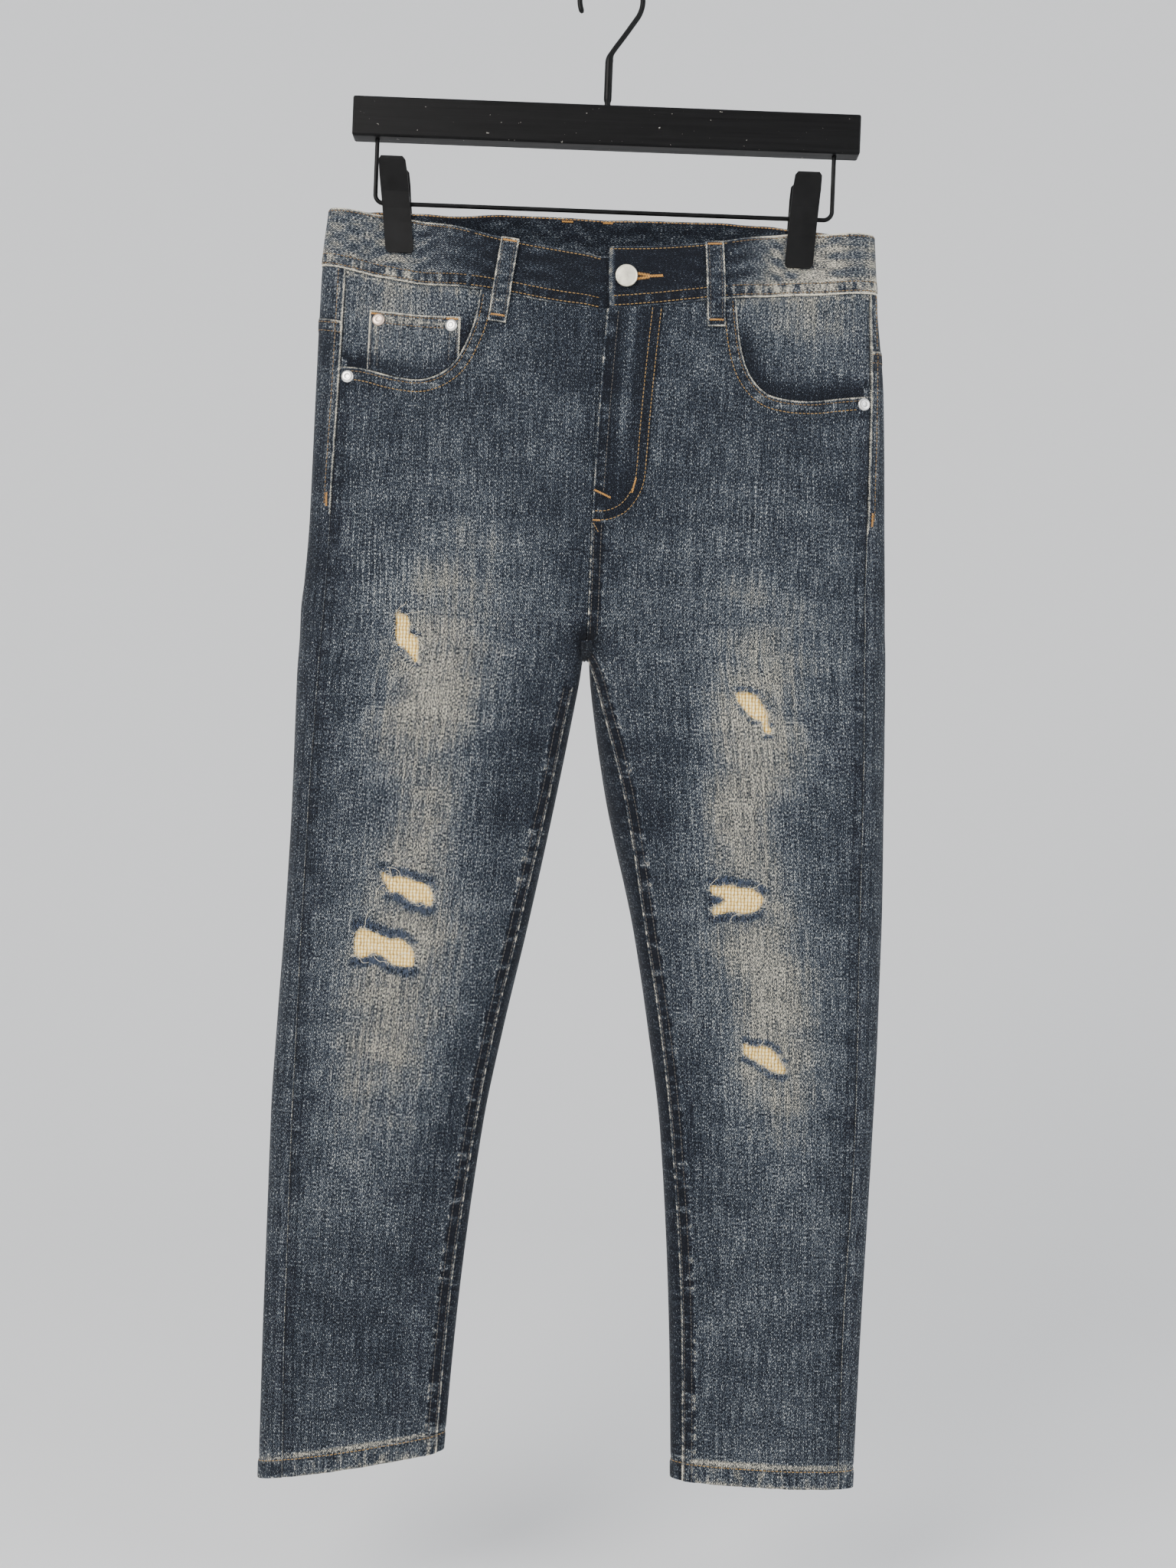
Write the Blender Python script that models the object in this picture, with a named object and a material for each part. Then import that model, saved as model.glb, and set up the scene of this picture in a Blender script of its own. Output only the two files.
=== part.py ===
# Slim ripped jeans hanging from a clip hanger.
# Metres, +Z up, the front of the jeans faces -Y and the wearer's right leg is at -X.
# The origin is the inside top of the hanger's hook. Sizes are written in millimetres.
import math
from collections import namedtuple

import bmesh
import bpy
import numpy as np
from mathutils import Matrix

MM = 0.001
SEAM_GAP = 0.3          # between two pieces that are sewn together
LAY_GAP = 0.5           # between a piece and the curved panel it lies on
CLOTH = 1.3             # wall of one layer of denim
HEM_WALL = 2.6          # the hem is turned up twice
HEM_HEIGHT = 13.0
ROUNDNESS = 2.3         # power of the flattened tubes that the legs hang as
CROTCH = -507.0         # height where the four panels meet

SIGN = {"right": -1.0, "left": 1.0}

# One row for each section of a leg: the distances from the middle of the jeans, as seen from the front.
# Above the crotch the inner edge is past the middle, where the other half takes over.
Leg = namedtuple("Leg", "z outer inner side_seam inseam")
LEGS = {
    "right": [
        Leg(-180, 205, -205, 190, 0),
        Leg(-240, 210, -210, 191, 0),
        Leg(-310, 211, -204, 192, 0),
        Leg(-420, 212, -150, 195, 0),
        Leg(-465, 214, -90, 196, 0),
        Leg(-492, 216, -30, 197, 0),
        Leg(CROTCH, 216, 0, 198, 0),
        Leg(-540, 217, 5, 199, 9),
        Leg(-620, 217, 18, 202, 23),
        Leg(-720, 219, 36, 204, 42),
        Leg(-800, 222, 52, 205, 58),
        Leg(-870, 224, 64, 206, 69),
        Leg(-1010, 224, 78, 206, 84),
        Leg(-1150, 223, 86, 203, 91),
    ],
    "left": [
        Leg(-180, 203, -203, 200, 0),
        Leg(-240, 208, -208, 202, 0),
        Leg(-310, 216, -206, 205, 0),
        Leg(-420, 221, -155, 206, 0),
        Leg(-465, 223, -92, 206, 0),
        Leg(-492, 224, -31, 207, 0),
        Leg(CROTCH, 225, 0, 207, 0),
        Leg(-540, 226, 4, 208, 9),
        Leg(-620, 228, 18, 210, 32),
        Leg(-720, 230, 43, 211, 52),
        Leg(-800, 230, 58, 213, 67),
        Leg(-870, 229, 69, 214, 77),
        Leg(-1010, 226, 81, 211, 90),
        Leg(-1150, 224, 88, 212, 96),
    ],
}

# Half depths of the hanging tubes: how far the front and the back stand from the hanger's plane.
Depth = namedtuple("Depth", "z front back")
DEPTHS = [
    Depth(-180, 24, 24),
    Depth(-240, 24, 26),
    Depth(-310, 26, 33),
    Depth(-420, 26, 41),
    Depth(-490, 25, 40),
    Depth(-580, 27, 34),
    Depth(-720, 25, 27),
    Depth(-850, 20, 24),
    Depth(-1010, 16, 18),
    Depth(-1150, 14, 14),
]

# Edges of the waistband by distance from the middle. The front is cut lower than the back.
Band = namedtuple("Band", "x front_top front_low back_top back_low")
BANDS = {
    "right": [
        Band(0, -221, -261, -180, -225),
        Band(30, -217, -258, -179, -224),
        Band(75, -210, -251, -179, -224),
        Band(145, -193, -241, -187.5, -231),
        Band(208, -187, -231, -187, -231),
    ],
    "left": [
        Band(0, -214, -261, -180, -225),
        Band(30, -213, -258, -179, -224),
        Band(85, -207, -250, -179, -224),
        Band(145, -193, -240, -189, -233),
        Band(206, -192, -237, -192, -237),
    ],
}
BAND_GAP = 0.45         # between the band and the panels' tops
BAND_OUT = 0.9          # the band stands this proud of the panels
BAND_WALL = 2.4
BAND_END = 6.0          # the buttoned end starts here, on the wearer's left
BAND_UNDER = 34.0       # and covers the other end as far as this

# The clips press the waistband flat, and the fold opens out below them.
CLIP_X = {"right": 153.0, "left": 149.0}
CLIP_FOOT = -219.0
PINCH_LEFT = 0.123      # share of the depth left between the jaws
PINCH_FLAT = 13.0
PINCH_WIDTH = 24.0
PINCH_FADE = 60.0
PINCH_SPREAD = 0.15

# Soft folds: place, tilt of the ridge in degrees from level, half length, half width, height.
Fold = namedtuple("Fold", "side face x z tilt length width height")
FOLDS = [
    Fold("right", "front", 44, -545, 38, 60, 15, 2.6),
    Fold("right", "front", 66, -596, 30, 62, 17, 2.2),
    Fold("right", "front", 120, -655, -8, 55, 20, -2.0),
    Fold("right", "front", 150, -772, -16, 60, 19, 2.4),
    Fold("right", "front", 140, -835, 10, 52, 18, -1.8),
    Fold("right", "front", 165, -985, 84, 95, 17, 2.0),
    Fold("right", "front", 118, -1000, 96, 90, 16, -1.8),
    Fold("left", "front", 40, -540, 42, 55, 15, 2.4),
    Fold("left", "front", 70, -602, 30, 66, 18, 2.2),
    Fold("left", "front", 122, -640, 6, 60, 20, -1.8),
    Fold("left", "front", 140, -752, 14, 62, 19, 2.4),
    Fold("left", "front", 150, -862, -10, 55, 19, -1.8),
    Fold("left", "front", 172, -1000, 86, 90, 17, 2.0),
    Fold("right", "back", 70, -520, 30, 80, 20, 3.6),
    Fold("right", "back", 120, -575, 18, 85, 20, -3.0),
    Fold("right", "back", 130, -735, 8, 75, 18, 3.4),
    Fold("right", "back", 145, -790, -12, 70, 18, -3.0),
    Fold("right", "back", 150, -960, 85, 95, 19, 2.4),
    Fold("left", "back", 72, -525, 32, 80, 20, 3.6),
    Fold("left", "back", 118, -582, 16, 85, 20, -3.0),
    Fold("left", "back", 132, -728, 10, 75, 18, 3.4),
    Fold("left", "back", 148, -782, -10, 70, 18, -3.0),
    Fold("left", "back", 150, -975, 84, 95, 19, 2.4),
]

# Heights of the rows of points down a leg, closer together at the crotch.
LEVELS = [-285, -318, -352, -386, -418, -446, -468, -484, -496, CROTCH, -516, -530, -552, -580, -608, -638]
LEVELS += [-668, -698, -728, -758, -788, -820, -854, -890, -928, -968, -1010, -1052, -1092]
FRONT_COLUMNS = 13
BACK_COLUMNS = 16
HEMS = {"right": (-1116, -1142), "left": (-1130, -1132)}        # height at the inner and the outer edge

# The yoke's lower seam runs down from the side to the middle of the back.
YOKE_SIDE = {"right": -270.0, "left": -280.0}
YOKE_MIDDLE = -306.0

# Curved pocket mouths, from the waistband to the side seam.
Scoop = namedtuple("Scoop", "x z")
SCOOPS = {
    "right": [Scoop(88, -232), Scoop(89, -252), Scoop(94, -278), Scoop(107, -304), Scoop(127, -315.5),
              Scoop(150, -314.5), Scoop(173, -309), Scoop(194, -307)],
    "left": [Scoop(100, -232), Scoop(101.5, -252), Scoop(106, -283), Scoop(113, -303), Scoop(125, -316),
             Scoop(140, -320.5), Scoop(160, -321), Scoop(180, -318), Scoop(208, -314)],
}
FACING_INNER = {"right": 78.0, "left": 90.0}
FACING_FOOT = {"right": -332.0, "left": -337.0}
FACING_PAST_SEAM = 2.0
FACING_WALL = 1.0
FACING_GAP = 0.9

# The small pocket inside the wearer's right pocket mouth.
COIN_INNER = 103.0
COIN_OUTER = 172.0
COIN_TOP = (-269.0, -263.0)
COIN_SUNK = 0.2         # its face lies this far under the front's
COIN_WALL = 1.1

# The fly's doubled cloth: its folded edge and its curved outer edge at each height.
Fly = namedtuple("Fly", "z edge curve")
FLY = [Fly(-262, 5.5, 47), Fly(-300, 3.8, 44.5), Fly(-336, 2.3, 42), Fly(-370, 1.4, 40.5), Fly(-388, 1.0, 38),
       Fly(-399, 0.8, 34), Fly(-409, 0.6, 26), Fly(-415, 0.5, 15), Fly(-417.5, 0.4, 4)]
FLY_WALL = 1.0

# Belt loops: upper end, lower end and width.
Loop = namedtuple("Loop", "side face x_top z_top x_low z_low width")
LOOPS = {
    "belt_loop_front_right": Loop("right", "front", 67.6, -211, 75.5, -273, 13.5),
    "belt_loop_front_left": Loop("left", "front", 83, -207.5, 87, -270, 13.5),
    "belt_loop_back_right": Loop("right", "back", 15, -180.5, 15, -238, 10),
    "belt_loop_back_left": Loop("left", "back", 15, -180.5, 15, -238, 10),
}
LOOP_WALL = 1.5
LOOP_ARCH = 1.6         # how far a loop stands off the band half way down

# Rips, cut through the front, with the cloth patch sewn behind each.
Rip = namedtuple("Rip", "name side x z wide high tilt lean")
RIPS = [
    Rip("hip_right", "right", 133, -508, 38, 17, 82, 0.45),
    Rip("knee_right_upper", "right", 125, -695, 38, 15, 22, 0.2),
    Rip("knee_right_lower", "right", 141, -737, 44, 19, 20, -0.2),
    Rip("hip_left", "left", 126, -552, 36, 20, -52, 0.35),
    Rip("knee_left_upper", "left", 118, -693, 39, 22, -8, -0.25),
    Rip("knee_left_lower", "left", 143, -808, 31, 15, -22, 0.2),
]
RIP_POINTS = 14
PATCH_MARGIN = 8.0
PATCH_WALL = 0.9

# Metal fasteners.
Stud = namedtuple("Stud", "name side x z radius height seat")
STUDS = [
    Stud("button", "left", 19, -236, 8.3, 3.0, BAND_OUT),
    Stud("rivet_coin_outer", "right", 165, -271, 4.65, 1.5, -COIN_SUNK),
    Stud("rivet_coin_inner", "right", 109.5, -275.5, 4.65, 1.5, -COIN_SUNK),
    Stud("rivet_pocket_right", "right", 186, -315, 4.65, 1.5, 0.0),
    Stud("rivet_pocket_left", "left", 200, -321, 4.65, 1.5, 0.0),
]
STUD_LIFT = 0.1         # above the seam gap

# Outlines of the fasteners: share of the radius, share of the height.
BUTTON_OUTLINE = [(0, 0), (0.55, 0), (0.6, 0.3), (0.97, 0.35), (1, 0.55), (0.95, 0.8), (0.8, 0.9),
                  (0.72, 0.78), (0.3, 0.95), (0, 1)]
RIVET_OUTLINE = [(0, 0), (0.95, 0), (1, 0.25), (0.85, 0.65), (0.5, 0.92), (0, 1)]

# Hanger.
BAR_HALF = 190.5
BAR_TOP = -103.0
BAR_HEIGHT = 30.0
BAR_DEPTH = 16.0
BAR_EDGE = 1.6
RAIL_RADIUS = 1.65
RAIL_HALF = 172.0
RAIL_Z = -181.0
RAIL_BEND = 6.5
RAIL_SUNK = 12.0
BORE_PLAY = 0.3
HOOK_WIRE = 2.0
HOOK_INSIDE = 21.75
SLEEVE_RADIUS = 3.0
NECK_RADIUS = 2.25
NECK_HEIGHT = 5.0
STEM_TOP = -62.0
STEM_SUNK = 24.0
HOOK_TIP = 205.0        # degrees round from the viewer's right
CLIP_WALL = 2.0
CLIP_TOP = -150.0
CLIP_TOP_X = {"right": 159.0, "left": 152.0}
CLIP_LOW_X = {"right": 151.5, "left": 148.0}
EAR_WALL = 1.2
EAR_HALF = 5.0
EAR_REACH = {"front": 9.2, "back": 7.4}     # from the clip's middle, so the two pairs pass each other
EAR_NEAR = 6.5          # how far an ear runs towards its own jaw,
EAR_PAST = 2.8          # and past the rail
SPRING_OUT = 3.7
SPRING_HALF = 6.0
Station = namedtuple("Station", "z y half")
JAW = [                 # a jaw's inner face from its top to its foot, and its half width there
    Station(CLIP_TOP, 13.0, 8.0),
    Station(CLIP_TOP - 2.5, 12.6, 10.0),
    Station(-162, 9.8, 10.5),
    Station(-174, 6.4, 10.5),
    Station(-186, 4.6, 10.5),
    Station(-196, 3.9, 10.5),
    Station(CLIP_FOOT + 2.5, 3.7, 10.5),
    Station(CLIP_FOOT, 3.7, 8.5),
]


# Materials
Finish = namedtuple("Finish", "colour roughness metallic")
FINISHES = {
    "denim": Finish((0.075, 0.105, 0.155), 0.9, 0.0),
    "denim_back": Finish((0.055, 0.08, 0.13), 0.9, 0.0),
    "patch_cloth": Finish((0.78, 0.62, 0.33), 0.9, 0.0),
    "nickel": Finish((0.62, 0.62, 0.6), 0.32, 1.0),
    "copper": Finish((0.72, 0.45, 0.3), 0.35, 1.0),
    "black_wood": Finish((0.014, 0.014, 0.014), 0.55, 0.0),
    "black_metal": Finish((0.012, 0.012, 0.012), 0.4, 0.6),
}


def make_material(node, finish):
    look = FINISHES[finish]
    material = bpy.data.materials.new(f"{node}_{finish}")
    material.use_nodes = True
    shader = material.node_tree.nodes["Principled BSDF"]
    shader.inputs["Base Color"].default_value = (*look.colour, 1)
    shader.inputs["Roughness"].default_value = look.roughness
    shader.inputs["Metallic"].default_value = look.metallic
    return material


# Meshes
def new_object(name, mesh_data, finish, smooth=False):
    mesh = bpy.data.meshes.new(name)
    mesh_data.to_mesh(mesh)
    mesh_data.free()
    thing = bpy.data.objects.new(name, mesh)
    bpy.context.scene.collection.objects.link(thing)
    if finish:
        mesh.materials.append(make_material(name, finish))
    if smooth:
        mesh.shade_smooth()
        mesh.set_sharp_from_angle(angle=math.radians(40))
    return thing


def grid_solid(name, outer, inner, finish):
    # A closed wall between two grids of points of the same size.
    rows, columns = outer.shape[:2]
    shape = bmesh.new()
    faces = []
    layers = [[[shape.verts.new(point * MM) for point in row] for row in layer] for layer in (outer, inner)]
    for layer in layers:
        for r in range(rows - 1):
            for c in range(columns - 1):
                faces.append((layer[r][c], layer[r][c + 1], layer[r + 1][c + 1], layer[r + 1][c]))
    near, far = layers
    for r in range(rows - 1):
        for c in (0, columns - 1):
            faces.append((near[r][c], near[r + 1][c], far[r + 1][c], far[r][c]))
    for c in range(columns - 1):
        for r in (0, rows - 1):
            faces.append((near[r][c], near[r][c + 1], far[r][c + 1], far[r][c]))
    for corners in faces:
        shape.faces.new(corners)
    bmesh.ops.recalc_face_normals(shape, faces=shape.faces)
    bmesh.ops.triangulate(shape, faces=shape.faces)
    return new_object(name, shape, finish, smooth=True)


def cutter(name, shape):
    tool = new_object(name, shape, None)
    tool.hide_render = True
    tool.display_type = "WIRE"
    return tool


def combine(target, tool, operation):
    modifier = target.modifiers.new(tool.name, "BOOLEAN")
    modifier.operation = operation
    modifier.solver = "EXACT"
    modifier.object = tool


def prism(outline, front=-70.0, back=70.0):
    # A block along Y from an outline of (x, z) points.
    shape = bmesh.new()
    face = shape.faces.new([shape.verts.new((x * MM, front * MM, z * MM)) for x, z in outline])
    made = bmesh.ops.extrude_face_region(shape, geom=[face])["geom"]
    moved = [item for item in made if isinstance(item, bmesh.types.BMVert)]
    bmesh.ops.translate(shape, verts=moved, vec=(0, (back - front) * MM, 0))
    bmesh.ops.recalc_face_normals(shape, faces=shape.faces)
    return shape


def box(low, high):
    shape = bmesh.new()
    bmesh.ops.create_cube(shape, size=1)
    size = [(b - a) * MM for a, b in zip(low, high)]
    middle = [(a + b) / 2 * MM for a, b in zip(low, high)]
    bmesh.ops.scale(shape, vec=size, verts=shape.verts)
    bmesh.ops.translate(shape, vec=middle, verts=shape.verts)
    return shape


def tube(name, path, radii, finish, sides=10, inside=None):
    # Rings square to a path that lies in the XZ plane. With an inside radius it is a pipe.
    path = np.array(path, float)
    ahead = np.gradient(path, axis=0)
    ahead /= np.linalg.norm(ahead, axis=1)[:, None]
    across = np.array([0.0, 1.0, 0.0])
    shape = bmesh.new()

    def rings(sizes):
        made = []
        for point, direction, size in zip(path, ahead, sizes):
            up = np.cross(direction, across)
            turns = [2 * math.pi * k / sides for k in range(sides)]
            spots = [point + size * (math.cos(t) * across + math.sin(t) * up) for t in turns]
            made.append([shape.verts.new(spot * MM) for spot in spots])
        return made

    def wall(made):
        for low, high in zip(made, made[1:]):
            for k in range(sides):
                n = (k + 1) % sides
                shape.faces.new((low[k], low[n], high[n], high[k]))

    outer = rings(radii)
    wall(outer)
    if inside is None:
        shape.faces.new(outer[0])
        shape.faces.new(outer[-1])
    else:
        hole = rings([inside] * len(path))
        wall(hole)
        for rim, lip in ((outer[0], hole[0]), (outer[-1], hole[-1])):
            for k in range(sides):
                n = (k + 1) % sides
                shape.faces.new((rim[k], rim[n], lip[n], lip[k]))
    bmesh.ops.recalc_face_normals(shape, faces=shape.faces)
    return new_object(name, shape, finish, smooth=True)


def turned(name, centre, normal, profile, finish, sides=16):
    # A round piece: its profile has (radius, height) points from the middle of its back to its crown.
    normal = normal / np.linalg.norm(normal)
    side = np.cross(normal, (0.0, 0.0, 1.0))
    side /= np.linalg.norm(side)
    up = np.cross(side, normal)
    shape = bmesh.new()
    rings = []
    for radius, height in profile:
        if radius == 0:
            rings.append([shape.verts.new((centre + normal * height) * MM)])
            continue
        turns = [2 * math.pi * k / sides for k in range(sides)]
        spots = [centre + normal * height + radius * (math.cos(t) * side + math.sin(t) * up) for t in turns]
        rings.append([shape.verts.new(spot * MM) for spot in spots])
    for low, high in zip(rings, rings[1:]):
        for k in range(sides):
            n = (k + 1) % sides
            corners = [low[k % len(low)], low[n % len(low)], high[n % len(high)], high[k % len(high)]]
            shape.faces.new(dict.fromkeys(corners))
    bmesh.ops.recalc_face_normals(shape, faces=shape.faces)
    return new_object(name, shape, finish, smooth=True)


# The hanging body of the jeans
def column(rows, name, at, key="z"):
    # A smooth curve through one column of a table, which never overshoots its rows.
    ordered = sorted(rows, key=lambda row: getattr(row, key))
    x = np.array([getattr(row, key) for row in ordered], float)
    y = np.array([getattr(row, name) for row in ordered], float)
    at = np.clip(np.asarray(at, float), x[0], x[-1])
    step = np.diff(x)
    slope = np.diff(y) / step
    before, after = slope[:-1], slope[1:]
    same = before * after > 0
    inner = np.where(same, 2 * before * after / np.where(same, before + after, 1), 0)
    tangent = np.concatenate([slope[:1], inner, slope[-1:]])
    k = np.clip(np.searchsorted(x, at) - 1, 0, len(step) - 1)
    t = (at - x[k]) / step[k]
    start = (1 + 2 * t) * (1 - t) ** 2 * y[k] + t * (1 - t) ** 2 * step[k] * tangent[k]
    end = t * t * (3 - 2 * t) * y[k + 1] - t * t * (1 - t) * step[k] * tangent[k + 1]
    return start + end


def signed_power(value, power):
    return np.sign(value) * np.abs(value) ** power


def section(side, z):
    outer = column(LEGS[side], "outer", z)
    inner = column(LEGS[side], "inner", z)
    return (outer + inner) / 2, (outer - inner) / 2


def angle_at(side, x, z, face="front"):
    # The angle round the section, 0 at the outer edge, minus at the front and plus at the back.
    middle, half = section(side, z)
    share = np.clip((x - middle) / half, -1, 1)
    angle = np.arccos(signed_power(share, ROUNDNESS / 2))
    return -angle if face == "front" else angle


def pinch(side, x, z):
    drop = np.maximum(0, CLIP_FOOT - z)
    hold = 1 / (1 + (drop / PINCH_FADE) ** 2)
    off = np.maximum(0, np.abs(x - CLIP_X[side]) - PINCH_FLAT)
    near = np.exp(-(off / (PINCH_WIDTH + PINCH_SPREAD * drop)) ** 2)
    return 1 - (1 - PINCH_LEFT) * hold * near


def fold_height(side, front, x, z):
    total = np.zeros(np.broadcast(x, z).shape)
    for fold in FOLDS:
        if fold.side != side:
            continue
        turn = math.radians(fold.tilt)
        along = ((x - fold.x) * math.cos(turn) + (z - fold.z) * math.sin(turn)) / fold.length
        over = ((z - fold.z) * math.cos(turn) - (x - fold.x) * math.sin(turn)) / fold.width
        bump = fold.height * np.exp(-along ** 2 - over ** 2)
        total += np.where(front == (fold.face == "front"), bump, 0)
    return total


def free_point(side, angle, z):
    middle, half = section(side, z)
    across = signed_power(np.cos(angle), 2 / ROUNDNESS)
    deep = signed_power(np.sin(angle), 2 / ROUNDNESS)
    x = middle + half * across
    front = deep < 0
    depth = np.where(front, column(DEPTHS, "front", z), column(DEPTHS, "back", z))
    y = deep * (depth * pinch(side, x, z) + fold_height(side, front, x, z))
    return np.stack([SIGN[side] * x, y, z + 0 * x], -1)


def body_point(side, angle, z, out=0.0):
    # A point of the body's skin, moved out square to it, never past the middle of the jeans.
    angle, z = np.broadcast_arrays(np.asarray(angle, float), np.asarray(z, float))
    point = free_point(side, angle, z)
    along = free_point(side, angle + 0.03, z) - free_point(side, angle - 0.03, z)
    down = free_point(side, angle, z - 1.5) - free_point(side, angle, z + 1.5)
    normal = np.cross(down, along) * SIGN[side]
    normal /= np.linalg.norm(normal, axis=-1, keepdims=True)
    point = point + normal * np.asarray(out, float)[..., None]
    keep = np.maximum(point[..., 0] * SIGN[side], SEAM_GAP / 2)
    point[..., 0] = keep * SIGN[side]
    return point


def skin(side, x, z, out, face="front"):
    return body_point(side, angle_at(side, x, z, face), z, out)


def band_edge(side, x, face, edge):
    return column(BANDS[side], f"{face}_{edge}", x, key="x")


# Panels
def front_edges(side, z):
    rows = LEGS[side]
    start = np.maximum(column(rows, "inseam", z), 0) + SEAM_GAP / 2
    end = column(rows, "side_seam", z) - SEAM_GAP / 2
    return angle_at(side, start, z), angle_at(side, end, z)


def back_edges(side, z):
    rows = LEGS[side]
    start = angle_at(side, column(rows, "side_seam", z) + SEAM_GAP / 2, z)
    middle_seam = angle_at(side, SEAM_GAP / 2, z, "back")
    inseam = 2 * math.pi + angle_at(side, column(rows, "inseam", z) - SEAM_GAP / 2, z)
    return start, np.where(np.asarray(z) >= CROTCH, middle_seam, inseam)


def across_edges(edges, side, share, z):
    start, end = edges(side, z)
    return start + (end - start) * share


def hem_line(side):
    inner, outer = HEMS[side]
    foot = LEGS[side][-1]

    def seam(x, angle):
        return inner + (outer - inner) * (x - foot.inner) / (foot.outer - foot.inner)
    return seam


def yoke_seam(side, gap=0.0):
    waist = LEGS[side][1]

    def seam(x, angle):
        return YOKE_MIDDLE + (YOKE_SIDE[side] - YOKE_MIDDLE) * x / waist.outer - gap
    return seam


def edge_heights(side, edges, share, seam, start):
    # Where each column of points meets a seam whose height depends on how far out it is.
    z = np.full(share.shape, float(start))
    for _ in range(4):
        angle = across_edges(edges, side, share, z)
        z = seam(np.abs(free_point(side, angle, z)[..., 0]), angle)
    return z


def band_seam(side):
    def seam(x, angle):
        front, back = band_edge(side, x, "front", "low"), band_edge(side, x, "back", "low")
        return np.where(angle < 0, front, back) - BAND_GAP
    return seam


def leg_panel(name, side):
    front = name == "front"
    edges = front_edges if front else back_edges
    share = np.linspace(0, 1, FRONT_COLUMNS if front else BACK_COLUMNS)
    top = edge_heights(side, edges, share, band_seam(side) if front else yoke_seam(side, SEAM_GAP), -260)
    hem = edge_heights(side, edges, share, hem_line(side), -1130)
    levels = [z for z in LEVELS if front or z < YOKE_MIDDLE]
    rows = [top] + [np.full(share.shape, float(z)) for z in levels]
    rows += [hem + HEM_HEIGHT + 0.6, hem + HEM_HEIGHT, hem]
    z = np.array(rows)
    wall = np.full(z.shape, CLOTH)
    wall[-2:] = HEM_WALL
    angle = across_edges(edges, side, share[None, :], z)
    outer = body_point(side, angle, z)
    inner = body_point(side, angle, z, -wall)
    return grid_solid(f"{name}_leg_{side}", outer, inner, "denim" if front else "denim_back")


def yoke(side):
    share = np.linspace(0, 1, 12)
    top = edge_heights(side, back_edges, share, band_seam(side), -240)
    foot = edge_heights(side, back_edges, share, yoke_seam(side), -280)
    z = np.array([top + (foot - top) * t for t in np.linspace(0, 1, 4)])
    angle = across_edges(back_edges, side, share[None, :], z)
    outer, inner = body_point(side, angle, z), body_point(side, angle, z, -CLOTH)
    return grid_solid(f"yoke_{side}", outer, inner, "denim_back")


def band_place(side, angle, z, sunk):
    # Which half's edge a station follows, and how far out. The covered end keeps to the right half's.
    x = abs(float(free_point(side, np.float64(angle), np.float64(z))[0]))
    return ("right", 0.0) if sunk and side == "left" else (side, x)


def waistband():
    # Stations from the buttoned end round the back to the end that lies under it, closest at the clips.
    half_turn = math.pi / 2

    def quarter(side, face):
        clip = CLIP_X[side]
        stops = [20.0, 40.0, 60.0, 80.0, 100.0, 114.0]
        stops += [clip + step for step in (-24, -18, -PINCH_FLAT, -4, 4, PINCH_FLAT, 18, 24)]
        angles = [float(angle_at(side, x, -225.0, face)) for x in stops]
        return angles + [0.6 * angles[-1], 0.3 * angles[-1]]

    front_left, back_left = quarter("left", "front"), quarter("left", "back")
    front_right, back_right = quarter("right", "front"), quarter("right", "back")
    stations = [("left", float(angle_at("left", BAND_END, -236.0)), 0.0)]
    stations += [("left", a, 0.0) for a in [*front_left, 0.0, *back_left[::-1], half_turn]]
    stations += [("right", a, 0.0) for a in [*back_right, 0.0, *front_right[::-1]]]
    under = BAND_WALL + SEAM_GAP + 0.2
    stations[-1] = ("right", stations[-1][1], under * 0.5)
    stations += [("right", -half_turn, under)]
    stations += [("left", float(angle_at("left", x, -236.0)), under) for x in (8.0, 16.0, 25.0, BAND_UNDER)]
    outer, inner = [], []
    for side, angle, sunk in stations:
        face = "front" if angle < 0 else "back"
        top, low = -200.0, -240.0
        for _ in range(3):
            top = float(band_edge(*band_place(side, angle, top, sunk), face, "top"))
            low = float(band_edge(*band_place(side, angle, low, sunk), face, "low"))
        z = np.linspace(top, low, 4)
        outer.append(body_point(side, angle, z, BAND_OUT - sunk + 0 * z))
        inner.append(body_point(side, angle, z, BAND_OUT - BAND_WALL - sunk + 0 * z))
    return grid_solid("waistband", np.array(outer), np.array(inner), "denim")


# Pockets, fly and loops
def curve_through(points, steps=4):
    # Points on a smooth curve through a short list of (x, z) points.
    points = np.array(points, float)
    padded = np.vstack([2 * points[0] - points[1], points, 2 * points[-1] - points[-2]])
    made = []
    for a, b, c, d in zip(padded, padded[1:], padded[2:], padded[3:]):
        for t in np.arange(steps) / steps:
            made.append(0.5 * (2 * b + (c - a) * t + (2 * a - 5 * b + 4 * c - d) * t ** 2
                               + (3 * b - a - 3 * c + d) * t ** 3))
    made.append(points[-1])
    return np.array(made)


def scoop_curve(side):
    return curve_through([(row.x, row.z) for row in SCOOPS[side]])


def cut_scoop(panel, side):
    edge = scoop_curve(side)
    beyond = [(240.0, edge[-1][1]), (240.0, -200.0), (edge[0][0], -200.0)]
    outline = [(SIGN[side] * x, z) for x, z in [*edge, *beyond]]
    combine(panel, cutter(f"pocket_mouth_{side}", prism(outline)), "DIFFERENCE")


def pocket_facing(side):
    share = np.linspace(0, 1, 13)

    def edges(side, z):
        past = column(LEGS[side], "side_seam", z) + FACING_PAST_SEAM
        return angle_at(side, FACING_INNER[side] + 0 * z, z), angle_at(side, past, z)

    top = edge_heights(side, edges, share, band_seam(side), -250)
    z = np.array([top + (FACING_FOOT[side] - top) * t for t in np.linspace(0, 1, 7)])
    angle = across_edges(edges, side, share[None, :], z)
    near = -(CLOTH + FACING_GAP)
    outer = body_point(side, angle, z, near + 0 * z)
    inner = body_point(side, angle, z, near - FACING_WALL + 0 * z)
    return grid_solid(f"pocket_facing_{side}", outer, inner, "denim")


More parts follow.
